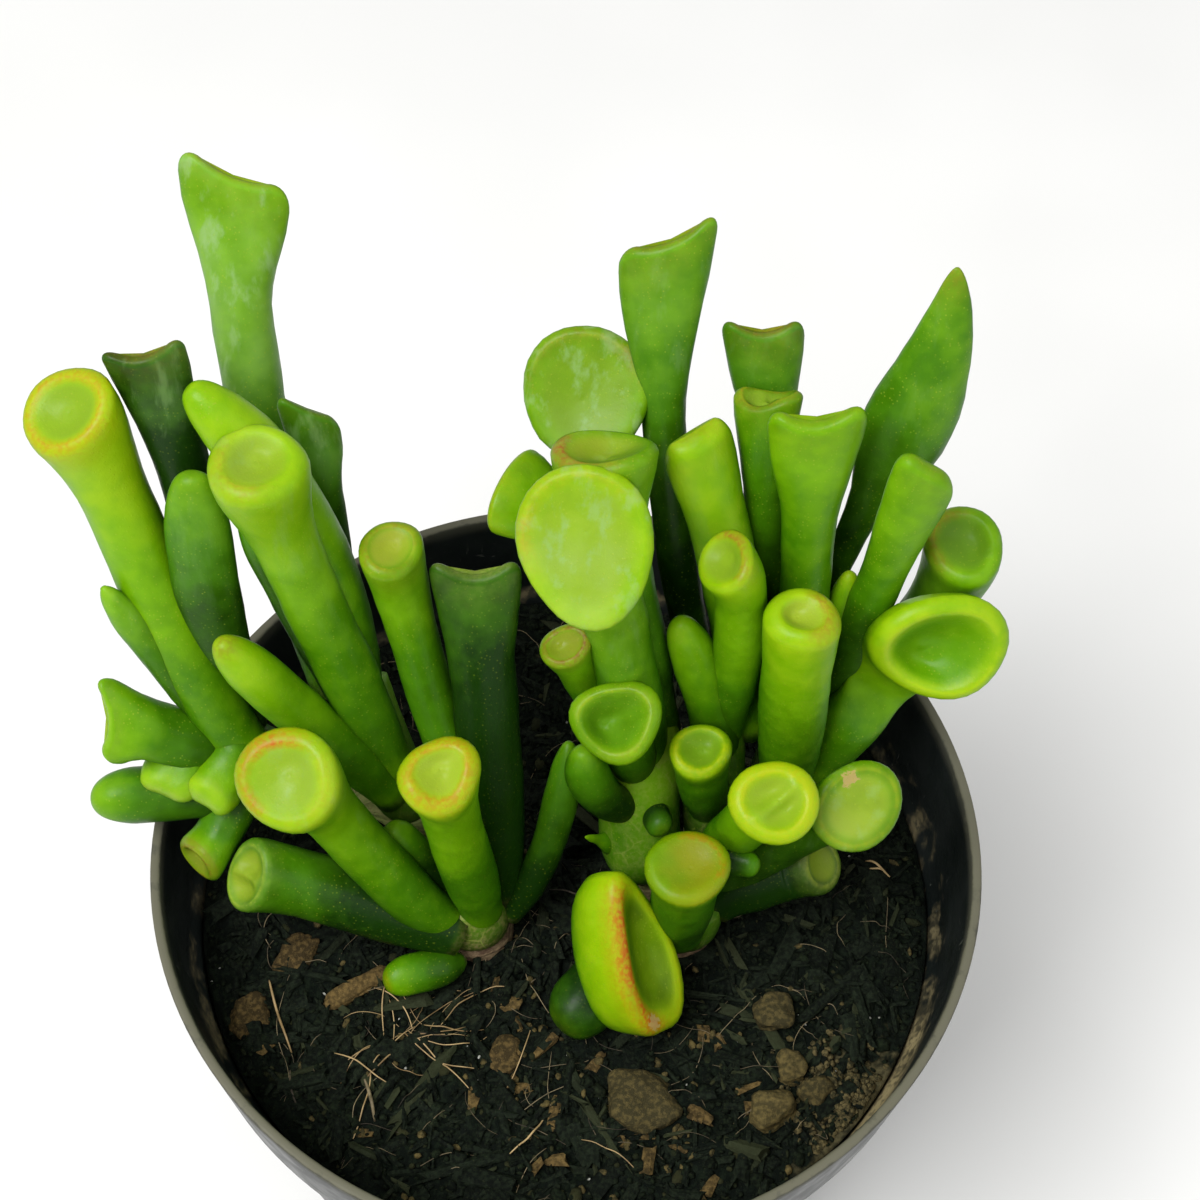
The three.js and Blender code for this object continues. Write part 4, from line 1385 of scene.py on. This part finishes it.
@dataclass(frozen=True)
class Strand:
    """Thin fibres, roots or straws that lie on the mix. Sizes in mm."""

    name: str
    finish: str
    count: int
    length: Pair
    radius: Pair
    curl: float
    seed: int
    near: Optional[Spread] = None
    steps: int = 7
    margin: float = 3.0          # from the wall to where a strand starts
    arch: Pair = (0.5, 0.4)      # how far it stands off the mix: at random, and in the middle

    def build(self, bed: Mix, finish: Material) -> Object:
        """Scatters the strands over the mix as one piece.

        Args:
            bed: the mix that they lie on.
            finish: its material.

        Returns:
            The piece.
        """
        draw, whole = random.Random(self.seed), bmesh.new()
        for _ in range(self.count):
            x, y = bed.free_spot(draw, self.margin, self.near)
            turn, bend = draw.uniform(0.0, TURN), draw.uniform(-self.curl, self.curl)
            length, radius = draw.uniform(*self.length), draw.uniform(*self.radius)
            points = []
            for step in range(self.steps):
                arch = self.arch[1] * math.sin(math.pi * step / (self.steps - 1))
                height = bed.surface(x, y) + radius + draw.uniform(0.0, self.arch[0]) + arch
                points.append(Vector((x, y, height)))
                x += length / self.steps * math.cos(turn)
                y += length / self.steps * math.sin(turn)
                turn += bend + draw.uniform(-0.3, 0.3) * self.curl
                if math.hypot(x, y) > bed.radius - 1.0:
                    x, y = x * 0.96, y * 0.96
            lay_strand(whole, bed, points, radius, draw.random())
        return add_piece(finished(whole, self.name), finish, "soil")


@dataclass(frozen=True)
class Straws:
    """The odd straws, each laid at its own place. Sizes in mm."""

    name: str
    finish: str
    places: Sequence[tuple[Pair, Pair, float]]       # from, to and radius
    seed: int
    steps: int = 5
    sides: int = 6

    def build(self, bed: Mix, finish: Material) -> Object:
        """Lays the straws on the mix, slightly bent, as one piece.

        Args:
            bed: the mix that they lie on.
            finish: its material.

        Returns:
            The piece.
        """
        draw, whole = random.Random(self.seed), bmesh.new()
        for start, end, radius in self.places:
            first, last = Vector(start), Vector(end)
            side = Vector((first.y - last.y, last.x - first.x)) * draw.uniform(-0.1, 0.1)
            points = []
            for step in range(self.steps + 1):
                arch = math.sin(math.pi * step / self.steps)
                spot = first.lerp(last, step / self.steps) + side * arch
                height = bed.surface(spot.x, spot.y) + radius + 0.5 + 0.5 * arch
                points.append(Vector((spot.x, spot.y, height)))
            lay_strand(whole, bed, points, radius, draw.uniform(0.5, 1.0), self.sides)
        return add_piece(finished(whole, self.name), finish, "soil")


@dataclass(frozen=True)
class Lump:
    """A stone or chip that lies in the mix. Sizes in mm."""

    name: str
    at: Pair
    size: Point
    turn: float
    stony: bool
    swelling: float = 0.03
    dents: float = 0.02
    boxy: float = 2.6            # 2 is an ellipsoid, more is nearer a box
    raised: float = 0.12
    facets: int = 13
    cuts: Pair = (0.72, 0.94)    # how far they lie from the middle, as a share of the half width
    pale: float = 0.0            # how much paler it is than the others

    def build(self, bed: Mix, finish: Material) -> Object:
        """Builds the lump with a worn or a split surface.

        Args:
            bed: the mix that it lies on.
            finish: its material.

        Returns:
            The piece.
        """
        bm = bmesh.new()
        bmesh.ops.create_icosphere(bm, subdivisions=5, radius=1.0)
        x, y = self.at
        draw = random.Random(self.name)
        flats = [(Vector([draw.gauss(0.0, 1.0) for _ in range(3)]).normalized(), draw.uniform(*self.cuts))
                 for _ in range(self.facets)]
        seed = bm.verts.layers.float.new("seed")
        for vert in bm.verts:
            a, b, c = vert.co
            squared = sum(abs(part) ** self.boxy for part in vert.co) ** (-1.0 / self.boxy)
            uneven = self.swelling * math.sin(5 * a + 3 * b + x) + self.dents * math.cos(4 * c + y)
            cut = min(away / max(normal.dot(vert.co), 0.01) for normal, away in flats)
            share = (0.5 * squared + uneven) * min(cut, 1.0) + self._grit(vert.co)
            vert.co = Vector((a * self.size[0], b * self.size[1], c * self.size[2])) * share * MM
            vert[seed] = self.pale
        bmesh.ops.rotate(bm, verts=bm.verts, cent=(0, 0, 0),
                         matrix=Matrix.Rotation(math.radians(self.turn), 3, "Z"))
        height = bed.ground(x, y) + self.raised * self.size[2]
        bmesh.ops.translate(bm, verts=bm.verts, vec=bed.place(x, y, height))
        look, slot = ("split", "stone") if self.stony else ("worn", "bark")
        return add_piece(finished(bm, f"{look}_{self.name}"), finish, slot, self.name)

    def _grit(self, spot: Vector) -> float:
        """Returns the fine relief of the surface, as a share of the width."""
        offset = Vector((self.at[0], self.at[1], 3.0))
        if self.stony:
            return 0.03 * noise.noise(spot * 2.6 + offset) + 0.012 * noise.noise(spot * 9.0 + offset)
        grain = Vector((spot.x * 1.5, spot.y * 9.0, spot.z * 6.0))
        return 0.05 * noise.noise(spot * 2.2 + offset) + 0.02 * noise.noise(grain + offset)


LUMPS = (
    Lump("stone_1", (10, -27), (9.5, 7.5, 4.5), -15, True),
    Lump("stone_2", (25.5, -27.5), (6, 5, 4), 30, True, pale=0.8),
    Lump("stone_3", (28, -22), (4.6, 4.2, 3.4), 80, True, pale=0.7),
    Lump("stone_4", (31, -24.5), (4.4, 3.6, 3), 40, True, pale=0.2),
    Lump("stone_5", (26, -15), (5.2, 5, 3.6), 0, True),
    Lump("chip_1", (-33, -9.5), (6.5, 5, 2.2), 60, False),
    Lump("chip_2", (-38, -17.5), (6, 5, 2.2), 100, False),
    Lump("chip_3", (-6.5, -21.5), (5, 4, 2), 70, False),
    Lump("stick", (-25.2, -13.6), (8.5, 2.4, 1.8), 34, False, raised=0.5, boxy=5.0, facets=5, pale=1.0),
)

LITTER = (
    Litter("crumbs_fine", "crumb", 4600, (0.4, 0.35, 0.3), (1.3, 1.1, 0.8), 0.3, 40, 21),
    Litter("crumbs_coarse", "crumb", 420, (1.3, 1.1, 0.8), (2.8, 2.2, 1.5), 0.45, 35, 22),
    Litter("shards_small", "shard", 2000, (1.0, 0.4, 0.3), (4.2, 1.3, 0.9), 0.25, 34, 23, 5),
    Litter("shards_large", "shard", 230, (3.0, 1.4, 0.8), (7.5, 3.0, 1.6), 0.4, 20, 27, 7),
    Litter("slivers", "shard", 60, (6.0, 0.9, 0.7), (12.5, 2.2, 1.3), 0.35, 9, 28, 11),
    Litter("bark_bits", "chip", 42, (1.2, 1.0, 0.6), (3.8, 2.6, 1.2), 0.3, 25, 24, 6, (2, -26, 15)),
    Litter("grit", "stone", 120, (0.6, 0.5, 0.5), (1.9, 1.6, 1.3), 0.3, 60, 25, 0, (4, -26, 16)),
    Litter("mud_crumbs", "silt", 300, (0.5, 0.5, 0.4), (1.6, 1.4, 0.9), 0.3, 50, 29, 0,
           (34.5, -26.5, 3.6)),
    Litter("perlite_grains", "perlite", 130, (0.2, 0.2, 0.18), (0.6, 0.55, 0.5), 0.25, 60, 26),
)

STRANDS = (
    Strand("fine_fibres", "root", 190, (3.0, 12.0), (0.025, 0.055), 0.34, 31),
    Strand("root_tangle", "straw", 22, (5.0, 13.0), (0.04, 0.1), 0.22, 32, (-19.0, -19.5, 1.8)),
    Strand("twiglets", "root", 14, (3.0, 8.0), (0.1, 0.26), 0.1, 33),
)

STRAWS = Straws("odd_straws", "straw", (
    ((-36.1, -12.7), (-32.3, -22.2), 0.16),
    ((-5.3, -34.3), (-1.4, -29.1), 0.12),
    ((37.9, 6.6), (40.9, 4.3), 0.16),
    ((38.3, 5.2), (40.4, 5.0), 0.13),
    ((-27.0, -22.5), (-20.5, -26.0), 0.1),
    ((-3.5, -17.5), (-6.5, -26.5), 0.07),
    ((3.0, -32.0), (9.5, -35.5), 0.07),
), 41)


# ---------- finishes ----------


@dataclass(frozen=True)
class LeafFlesh:
    """Waxy succulent flesh with tinted lips, pale dots and corky green stems."""

    deep: Colour = srgb(20, 50, 4)
    middle: Colour = srgb(66, 118, 2)
    bright: Colour = srgb(108, 158, 2)
    lime: Colour = srgb(147, 184, 6)
    pale: Colour = srgb(150, 168, 44)
    # painted shade for the inside of the bowls, lighter and darker
    shaded: Colour = srgb(150, 196, 90)
    shadowed: Colour = srgb(104, 118, 60)
    # painted shade where the flesh is seen edge on
    edge: Colour = srgb(168, 206, 150)
    waxy: Colour = srgb(136, 170, 104)
    crest: Colour = srgb(182, 190, 40)
    cork: Colour = srgb(84, 96, 32)
    scab: Colour = srgb(132, 122, 72)
    seam: Colour = srgb(134, 146, 66)
    dry: Colour = srgb(172, 146, 92)
    tints: Sequence[tuple[float, Colour]] = (
        (0.0, srgb(168, 170, 96)), (YELLOW.value, srgb(158, 172, 10)), (OLIVE.value, srgb(136, 122, 8)),
        (ORANGE.value, srgb(172, 96, 18)), (RED.value, srgb(146, 66, 34)), (1.0, srgb(116, 74, 28)))
    scabs: Sequence[tuple[Point, float]] = (((11.4, -20.8, -5.4), 1.3), ((31.9, -1.7, 20.2), 1.0))
    patch: float = 9.0           # mm across a broad patch
    streak: float = 2.4          # mm between streaks of wax
    dot: float = 0.52            # mm between pale dots
    dotted: float = 3.5          # mm across a patch with more of them
    net: float = 3.4             # mm across the meshes of the stems' seams
    gloss: float = 0.4

    def build(self, effects: Effects) -> Material:
        """Builds the finish.

        Args:
            effects: the shared node groups.

        Returns:
            Its material.
        """
        shader = Shader("leaf_flesh")
        patches = shader.patches(effects, self.patch, shader.mask("seed") * 20.0)
        colour = self._hollowed(shader, self._toned(shader, patches), patches)
        colour = self._waxed(shader, colour, patches)
        dots = shader.cells(self.dot).span(0.27, 0.1)
        colour = self._dotted(shader, colour, dots)
        colour = self._lipped(shader, colour, patches)
        colour = self._corky(shader, colour, patches)
        colour = self._scabbed(shader, colour, patches)
        colour = self._painted_edge_shade(shader, colour)
        rough = patches.fine.swing(self.gloss - 0.08, self.gloss + 0.14) + shader.mask("cork") * 0.25
        relief = shader.bump(dots, 0.03, 0.4, shader.bump(patches.grain, 0.07, 0.6))
        return shader.paint(colour, rough, relief, Subsurface_Weight=0.22, Subsurface_Scale=0.0022,
                            Subsurface_Radius=(0.6, 1.0, 0.12), Coat_Weight=0.07, Coat_Roughness=0.3,
                            Specular_IOR_Level=0.12)

    def _toned(self, shader: Shader, patches: Patches) -> Wire:
        """Returns the flesh, deep at the foot and lighter to the tip: partly its own colour, partly painted
        shade low on the leaf.
        """
        along = shader.mask("along")
        # darker towards the foot, partly as painted shade; a little paler again right at the foot
        tone = shader.mask("tone") + along.span(0.1, 1.05, -0.3, 0.22) + along.span(0.14, 0.0, 0.0, 0.2)
        tone = tone + patches.broad.swing(-0.09, 0.09) + patches.fine.swing(-0.05, 0.05)
        return shader.ramp(tone, ((0.0, self.deep), (0.4, self.middle), (0.68, self.bright),
                                  (0.98, self.lime)))

    def _hollowed(self, shader: Shader, colour: Wire, patches: Patches) -> Wire:
        """Returns the colour with that of the bowls, from painted shade to pale."""
        bowl = shader.mask("bowl")
        # painted shade in the bowls, deeper where the bowl mask is below 0; pale where it is high
        inner = shader.blend(1.0, colour, self.shaded, "MULTIPLY")
        inner = shader.blend(bowl.span(0.0, -1.0), inner,
                             shader.blend(1.0, colour, self.shadowed, "MULTIPLY"))
        inner = shader.blend(bowl, inner, self.pale)
        return shader.blend(shader.mask("cup") * patches.broad.span(0.3, 0.65, 0.55, 0.95), colour, inner)

    def _waxed(self, shader: Shader, colour: Wire, patches: Patches) -> Wire:
        """Returns the colour under streaks of pale wax."""
        streaks = shader.noise(self.streak, 4.0, 0.6, stretch=(1.0, 1.0, 0.16))
        veil = streaks.span(0.52, 0.68) * 0.8 + patches.broad.span(0.4, 0.75, 0.0, 0.5)
        amount = (shader.mask("bloom") + 0.02) * shader.mask("along").span(0.3, 0.9, 0.1, 1.0)
        return shader.blend((veil * amount).clamped(), colour, self.waxy)

    def _dotted(self, shader: Shader, colour: Wire, dots: Wire) -> Wire:
        """Returns the colour with its pale dots."""
        shown = shader.noise(self.dotted).span(0.38, 0.62, 0.06, 0.42)
        shown = shown * shader.mask("tone").span(0.0, 0.4, 0.4, 1.0)
        return shader.blend(dots * shown, colour, self.pale)

    def _lipped(self, shader: Shader, colour: Wire, patches: Patches) -> Wire:
        """Returns the colour with the tinted lip."""
        tint = shader.ramp(shader.mask("rim_hue"), self.tints)
        rim = shader.mask("rim")
        broken = patches.broad.span(0.3, 0.6, 0.3, 1.1)
        flecks = patches.grain.span(0.35, 0.65, 0.6, 1.2)
        share = (rim * shader.mask("blush") * (broken * flecks)).clamped()
        crest = rim.span(0.72, 1.0, 0.0, 0.2) * patches.fine.span(0.34, 0.6, 0.2, 1.0)
        colour = shader.blend(crest, colour, self.crest)
        near_tip = shader.mask("cup").most(shader.mask("along").span(0.86, 1.0))
        return shader.blend(share.most(near_tip * shader.mask("flush") * broken), colour, tint)

    def _corky(self, shader: Shader, colour: Wire, patches: Patches) -> Wire:
        """Returns the colour with the pale, speckled skin of the stems and its net of seams."""
        cork = shader.mask("cork")
        skin = shader.blend(patches.grain.span(0.4, 0.62), self.cork, self.scab)
        share = cork * patches.fine.span(0.32, 0.62, 0.25, 0.95)
        seams = shader.cells(self.net, "DISTANCE_TO_EDGE").span(0.035, 0.008) * cork
        scar = shader.mask("along").span(0.05, 0.0, 0.0, 0.4)
        colour = shader.blend(share.most(scar), colour, skin)
        return shader.blend(seams * patches.fine.span(0.42, 0.62), colour, self.seam)

    def _scabbed(self, shader: Shader, colour: Wire, patches: Patches) -> Wire:
        """Returns the colour with the few dry scabs that old injuries left, at their own places."""
        for place, radius in self.scabs:
            ragged = shader.near(place, radius) + patches.grain.swing(-0.4, 0.4)
            colour = shader.blend(ragged.span(1.0, 0.7, 0.0, 0.8), colour, self.dry)
        return colour

    def _painted_edge_shade(self, shader: Shader, colour: Wire) -> Wire:
        """Returns the colour with painted shade where the thick flesh is seen edge on."""
        facing = shader.wire("ShaderNodeLayerWeight", "Facing", {"Blend": 0.4})
        return shader.blend(facing.span(0.35, 0.95, 0.0, 0.75), colour,
                            shader.blend(1.0, colour, self.edge, "MULTIPLY"))


@dataclass(frozen=True)
class Bark:
    """Brown, ridged skin of the woody stems, green-grey where it is young."""

    old: Colour = srgb(84, 62, 44)
    ridge: Colour = srgb(146, 124, 92)
    young: Colour = srgb(120, 134, 66)
    patch: float = 4.0           # mm across a broad patch
    scar: float = 1.2            # mm from one ring of scars to the next
    greening: Pair = (77.0, 86.0)    # where it turns young, in mm above the pot's foot

    def build(self, effects: Effects) -> Material:
        """Builds the finish.

        Args:
            effects: the shared node groups.

        Returns:
            Its material.
        """
        shader = Shader("stem_bark")
        patches = shader.patches(effects, self.patch, 3.0)
        colour = shader.blend(patches.fine.span(0.35, 0.65), self.old, self.ridge)
        share = shader.axis("Z").span(*self.greening) * patches.broad.span(0.3, 0.6, 0.4, 1.0)
        colour = shader.blend(share, colour, self.young)
        colour = shader.blend(patches.grain.span(0.55, 0.7, 0.0, 0.5), colour, self.ridge)
        rings = shader.noise(self.scar, 3.0, stretch=(0.35, 0.35, 2.2))
        relief = shader.bump(rings, 0.5, 0.7, shader.bump(patches.grain, 0.2, 0.6))
        return shader.paint(colour, patches.fine.swing(0.6, 0.85), relief)


@dataclass(frozen=True)
class PotPlastic:
    """Thin black plastic: scuffed and scratched, dusty on its lip, silted inside, where one side of the wall
    also has painted light. Sizes in mm.
    """

    plastic: Colour = srgb(17, 22, 21)
    scuffed: Colour = srgb(42, 47, 45)
    scratched: Colour = srgb(104, 106, 98)
    lip_dust: Colour = srgb(96, 94, 76)
    # partly silt, partly painted light on the inner wall's lit side
    silt: Colour = srgb(146, 132, 94)
    patch: float = 14.0          # across a broad patch
    scuff: float = 11.0          # across a patch with scratches
    upright: float = 0.5         # between scratches that run up
    slanted: float = 0.45        # between those that run round
    dust: Pair = (3.5, 0.25)     # size of a patch of dust, and how much there is
    silt_and_light_side: Point = (0.66, -0.75, 0.0)    # the way to the wall's silted side, which also has painted light as its lit side
    silt_top: float = 9.0        # how far over the collar's foot the silt and its painted light fade out
    collar_line: float = 75.0    # height of the collar's foot above the pot's foot
    lip_line: Pair = (87.6, 89.9)    # heights between which the dust on the lip fades in
    middle: Pair = (0.127, 37.97)    # radius of the wall's middle over the collar: its slope and start
    step_in: float = 1.0         # how much less it is under the collar

    def build(self, effects: Effects) -> Material:
        """Builds the finish.

        Args:
            effects: the shared node groups.

        Returns:
            Its material.
        """
        shader = Shader("pot_plastic")
        patches = shader.patches(effects, self.patch, 5.0)
        height, scratches = shader.axis("Z"), self._scratches(shader)
        colour = shader.blend(patches.broad.span(0.35, 0.7, 0.0, 0.45), self.plastic, self.scuffed)
        colour = shader.blend(scratches * 0.55, colour, self.scratched)
        size, amount = self.dust
        dusty = shader.wire("ShaderNodeGroup", "Mask",
                            {"Vector": shader.coords, "Size": size, "Amount": amount},
                            node_tree=effects.dust)
        near_lip = height.span(*self.lip_line, 0.0, 0.9)
        colour = shader.blend(near_lip * dusty.most(0.45), colour, self.lip_dust)
        # silt on the inner wall, partly painted light
        silt_and_light = self._silted_and_lit(shader, height, patches)
        colour = shader.blend(silt_and_light, colour, self.silt)
        rough = (patches.fine.swing(0.34, 0.5) + (silt_and_light + near_lip) * 0.3).clamped()
        relief = shader.bump(scratches, -0.05, 0.5, shader.bump(patches.grain, 0.03, 0.4))
        return shader.paint(colour, rough, relief)

    def _scratches(self, shader: Shader) -> Wire:
        """Returns fine scratches that run up and round the wall."""
        up = shader.noise(self.upright, 2.0, 0.5, stretch=(1.0, 1.0, 0.06))
        slanted = shader.noise(self.slanted, 2.0, 0.5, stretch=(0.12, 0.9, 1.0), shift=7.0)
        where = shader.noise(self.scuff, 2.0, shift=3.0).span(0.45, 0.62)
        return up.span(0.66, 0.74).most(slanted.span(0.67, 0.75)) * where

    def _inside(self, shader: Shader, height: Wire) -> Wire:
        """Returns a mask of the inner face, from just under the mix's surface up."""
        x, y = shader.axis("X"), shader.axis("Y")
        radius = shader.math("SQRT", x * x + y * y)
        slope, start = self.middle
        middle = height * slope + start - shader.math("LESS_THAN", height, self.collar_line) * self.step_in
        above = shader.math("GREATER_THAN", height, self.collar_line - 4.0)
        return shader.math("LESS_THAN", radius, middle) * above

    def _silted_and_lit(self, shader: Shader, height: Wire, patches: Patches) -> Wire:
        """Returns a mask of the silt on the inner wall, partly real silt and partly painted light on its lit
        side.
        """
        low = height.span(self.collar_line + self.silt_top, self.collar_line - 0.5)
        outward = shader.wire("ShaderNodeVectorMath", "Vector", {0: shader.coords}, operation="NORMALIZE")
        side = shader.wire("ShaderNodeVectorMath", "Value", {0: outward, 1: self.silt_and_light_side},
                           operation="DOT_PRODUCT")
        broken = low + side.span(0.4, 0.5, -0.7, 0.6) + patches.fine.swing(-0.75, 0.25)
        broken = broken * low.span(0.0, 0.2)
        silted = (broken * patches.grain.span(0.4, 0.6, 0.3, 1.0)).clamped()
        return silted * self._inside(shader, height)


@dataclass(frozen=True)
class Earth:
    """Dark, crumbly potting mix or bits of it."""

    name: str
    dark: Colour
    light: Colour
    fleck: Colour
    size: float = 3.0            # mm across a patch
    rough: float = 0.9
    wet: float = 0.25            # how much smoother the damp patches are
    rare: float = 0.0            # how far the odd bit is as light as a fleck
    sheen: float = 0.1           # specular level
    mud: Optional[tuple[Point, float]] = None    # place of a muddy patch and its radius, in mm
    muddy: Colour = srgb(84, 78, 54)

    def build(self, effects: Effects) -> Material:
        """Builds the finish.

        Args:
            effects: the shared node groups.

        Returns:
            Its material.
        """
        shader = Shader(self.name)
        seed = shader.mask("seed")
        patches = shader.patches(effects, self.size, seed * 9.0)
        share = (patches.fine.span(0.35, 0.68, -0.25, 0.6) + seed * 0.5).clamped()
        colour = shader.blend(share, self.dark, self.light)
        colour = shader.blend(seed.span(0.86, 1.0, 0.0, self.rare), colour, self.fleck)
        colour = shader.blend(patches.grain.span(0.62, 0.72, 0.0, 0.7), colour, self.fleck)
        if self.mud:
            ragged = shader.near(*self.mud) + patches.broad.swing(-0.45, 0.45)
            grains = patches.fine.span(0.3, 0.6, 0.45, 1.0)
            colour = shader.blend(ragged.span(1.1, 0.6) * grains, colour, self.muddy)
        rough = patches.broad.span(0.4, 0.7, self.rough, self.rough - self.wet)
        relief = shader.bump(patches.grain, 0.3, 0.8)
        return shader.paint(colour, rough, relief, Specular_IOR_Level=self.sheen)


@dataclass(frozen=True)
class Fibre:
    """Dry fibres and straws, each with a shade of its own."""

    name: str
    dark: Colour
    light: Colour
    rough: float = 0.7
    patch: float = 1.5           # mm across a broad patch

    def build(self, effects: Effects) -> Material:
        """Builds the finish.

        Args:
            effects: the shared node groups.

        Returns:
            Its material.
        """
        shader = Shader(self.name)
        patches = shader.patches(effects, self.patch, 1.0)
        share = (shader.mask("seed") * 0.8 + patches.broad.swing(-0.25, 0.3)).clamped()
        relief = shader.bump(patches.fine, 0.08, 0.5)
        return shader.paint(shader.blend(share, self.dark, self.light), self.rough, relief)


GROUND = (                       # the finishes of the mix and of what lies on it
    Earth("peat", srgb(7, 13, 8), srgb(25, 34, 22), srgb(50, 52, 32), mud=((38.5, -27.5, -15.5), 9.5)),
    Earth("crumb", srgb(8, 13, 8), srgb(31, 40, 25), srgb(72, 70, 42), 1.6, rare=0.4),
    Earth("shard", srgb(8, 13, 8), srgb(31, 39, 27), srgb(70, 74, 48), 2.0, 0.72, 0.25, rare=0.4),
    Earth("chip", srgb(58, 48, 28), srgb(112, 92, 54), srgb(150, 128, 86), 2.2, 0.85, 0.1),
    Earth("stone", srgb(58, 53, 33), srgb(104, 91, 54), srgb(128, 114, 76), 2.4, 0.85, 0.1),
    Earth("silt", srgb(48, 46, 30), srgb(112, 100, 66), srgb(150, 136, 98), 1.5, 0.9, 0.1),
    Earth("perlite", srgb(150, 150, 140), srgb(206, 206, 198), srgb(236, 234, 228), 1.2, 0.85, 0.1),
    Fibre("root", srgb(50, 42, 30), srgb(150, 134, 100)),
    Fibre("straw", srgb(112, 88, 52), srgb(188, 160, 112), 0.55),
)


# ---------- studio ----------


@dataclass(frozen=True)
class Lamp:
    """A soft square light that faces the pot. Sizes in metres, power in watts."""

    name: str
    place: Point
    size: float
    power: float
    target: Point = (0.0, 0.0, 0.09)

    def build(self) -> None:
        """Adds the light."""
        light = bpy.data.lights.new(self.name, "AREA")
        light.shape, light.size, light.energy = "SQUARE", self.size, self.power
        holder = show(self.name, light)
        holder.location = self.place
        away = Vector(self.target) - Vector(self.place)
        holder.rotation_euler = away.to_track_quat("-Z", "Y").to_euler()


@dataclass(frozen=True)
class Studio:
    """A pale floor, soft lights and the camera. Sizes in metres."""

    place: Point = (0.0028, -0.1316, 0.336)
    right: Point = (0.9993, 0.0316, 0.0214)
    back: Point = (0.0, -0.5612, 0.8277)
    lens: float = 69.0           # in mm, as is the sensor's width
    sensor: float = 36.0
    clip: Pair = (0.01, 20.0)
    floor_size: float = 6.0
    floor_drop: float = 0.0001   # keeps the floor clear of the pot's foot
    paper: tuple[Colour, Colour] = (srgb(236, 236, 234), srgb(242, 242, 240))
    paper_patch: float = 90.0    # in mm
    sky: float = 0.52            # strength of the even light
    lamps: Sequence[Lamp] = (Lamp("key", (-0.34, -0.3, 0.84), 0.45, 8.2),
                             Lamp("fill", (0.6, -0.45, 0.6), 0.8, 1.8))

    def build(self) -> None:
        """Sets up the floor, the lights and the camera."""
        self._floor()
        self._world()
        for lamp in self.lamps:
            lamp.build()
        self._camera()
        bpy.context.scene.view_settings.view_transform = "Standard"

    def _floor(self) -> None:
        """Makes the floor under the pot."""
        bm = bmesh.new()
        bmesh.ops.create_grid(bm, x_segments=1, y_segments=1, size=self.floor_size / 2)
        bmesh.ops.translate(bm, verts=bm.verts, vec=(0.0, 0.0, -self.floor_drop))
        floor = show("studio_floor", finished(bm, "studio_floor", smooth=False))
        shader = Shader("studio_paper")
        tone = shader.noise(self.paper_patch, 2.0).swing(0.0, 1.0)
        floor.data.materials.append(shader.paint(shader.blend(tone, *self.paper), 0.8))

    def _world(self) -> None:
        """Lights the scene evenly from all sides."""
        world = bpy.data.worlds.new("studio_world")
        world.use_nodes = True
        sky = world.node_tree.nodes["Background"]
        sky.inputs["Color"].default_value = (1.0, 1.0, 1.0, 1.0)
        sky.inputs["Strength"].default_value = self.sky
        bpy.context.scene.world = world

    def _camera(self) -> None:
        """Places the camera."""
        lens = bpy.data.cameras.new("view")
        lens.lens, lens.sensor_width = self.lens, self.sensor
        lens.clip_start, lens.clip_end = self.clip
        camera = show("view", lens)
        right, back = Vector(self.right), Vector(self.back)
        turned = Matrix((right, back.cross(right), back)).transposed().to_4x4()
        camera.matrix_world = Matrix.Translation(self.place) @ turned
        bpy.context.scene.camera = camera


# ---------- the whole ----------


def dress(origin: Vector) -> None:
    """Builds every piece of the potted plant.

    Args:
        origin: the middle of the rim's plane, in metres.
    """
    effects = Effects()
    flesh, bark = LeafFlesh().build(effects), Bark().build(effects)
    ground = {kind.name: kind.build(effects) for kind in GROUND}
    pot = Pot()
    pot.build(PotPlastic().build(effects), origin)
    bed = Mix(pot, origin)
    bed.build(ground["peat"])
    for shoot in SHOOTS:
        shoot.build(flesh, origin)
    for stump in STUMPS:
        stump.build(bark, origin)
    for lump in LUMPS:
        lump.build(bed, ground["stone" if lump.stony else "chip"])
    for bits in (*LITTER, *STRANDS, STRAWS):
        bits.build(bed, ground[bits.finish])


def corners(box: tuple[Vector, Vector]) -> list[list[float]]:
    """Returns a box's two corners as plain lists."""
    return [list(corner) for corner in box]


def main() -> None:
    """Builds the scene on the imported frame."""
    logging.basicConfig(level=logging.INFO, format="%(name)s: %(message)s")
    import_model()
    low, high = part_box("pot")
    origin = Vector(((low[0] + high[0]) / 2, (low[1] + high[1]) / 2, high[2]))
    Studio().build()
    dress(origin)


if __name__ == "__main__":
    main()
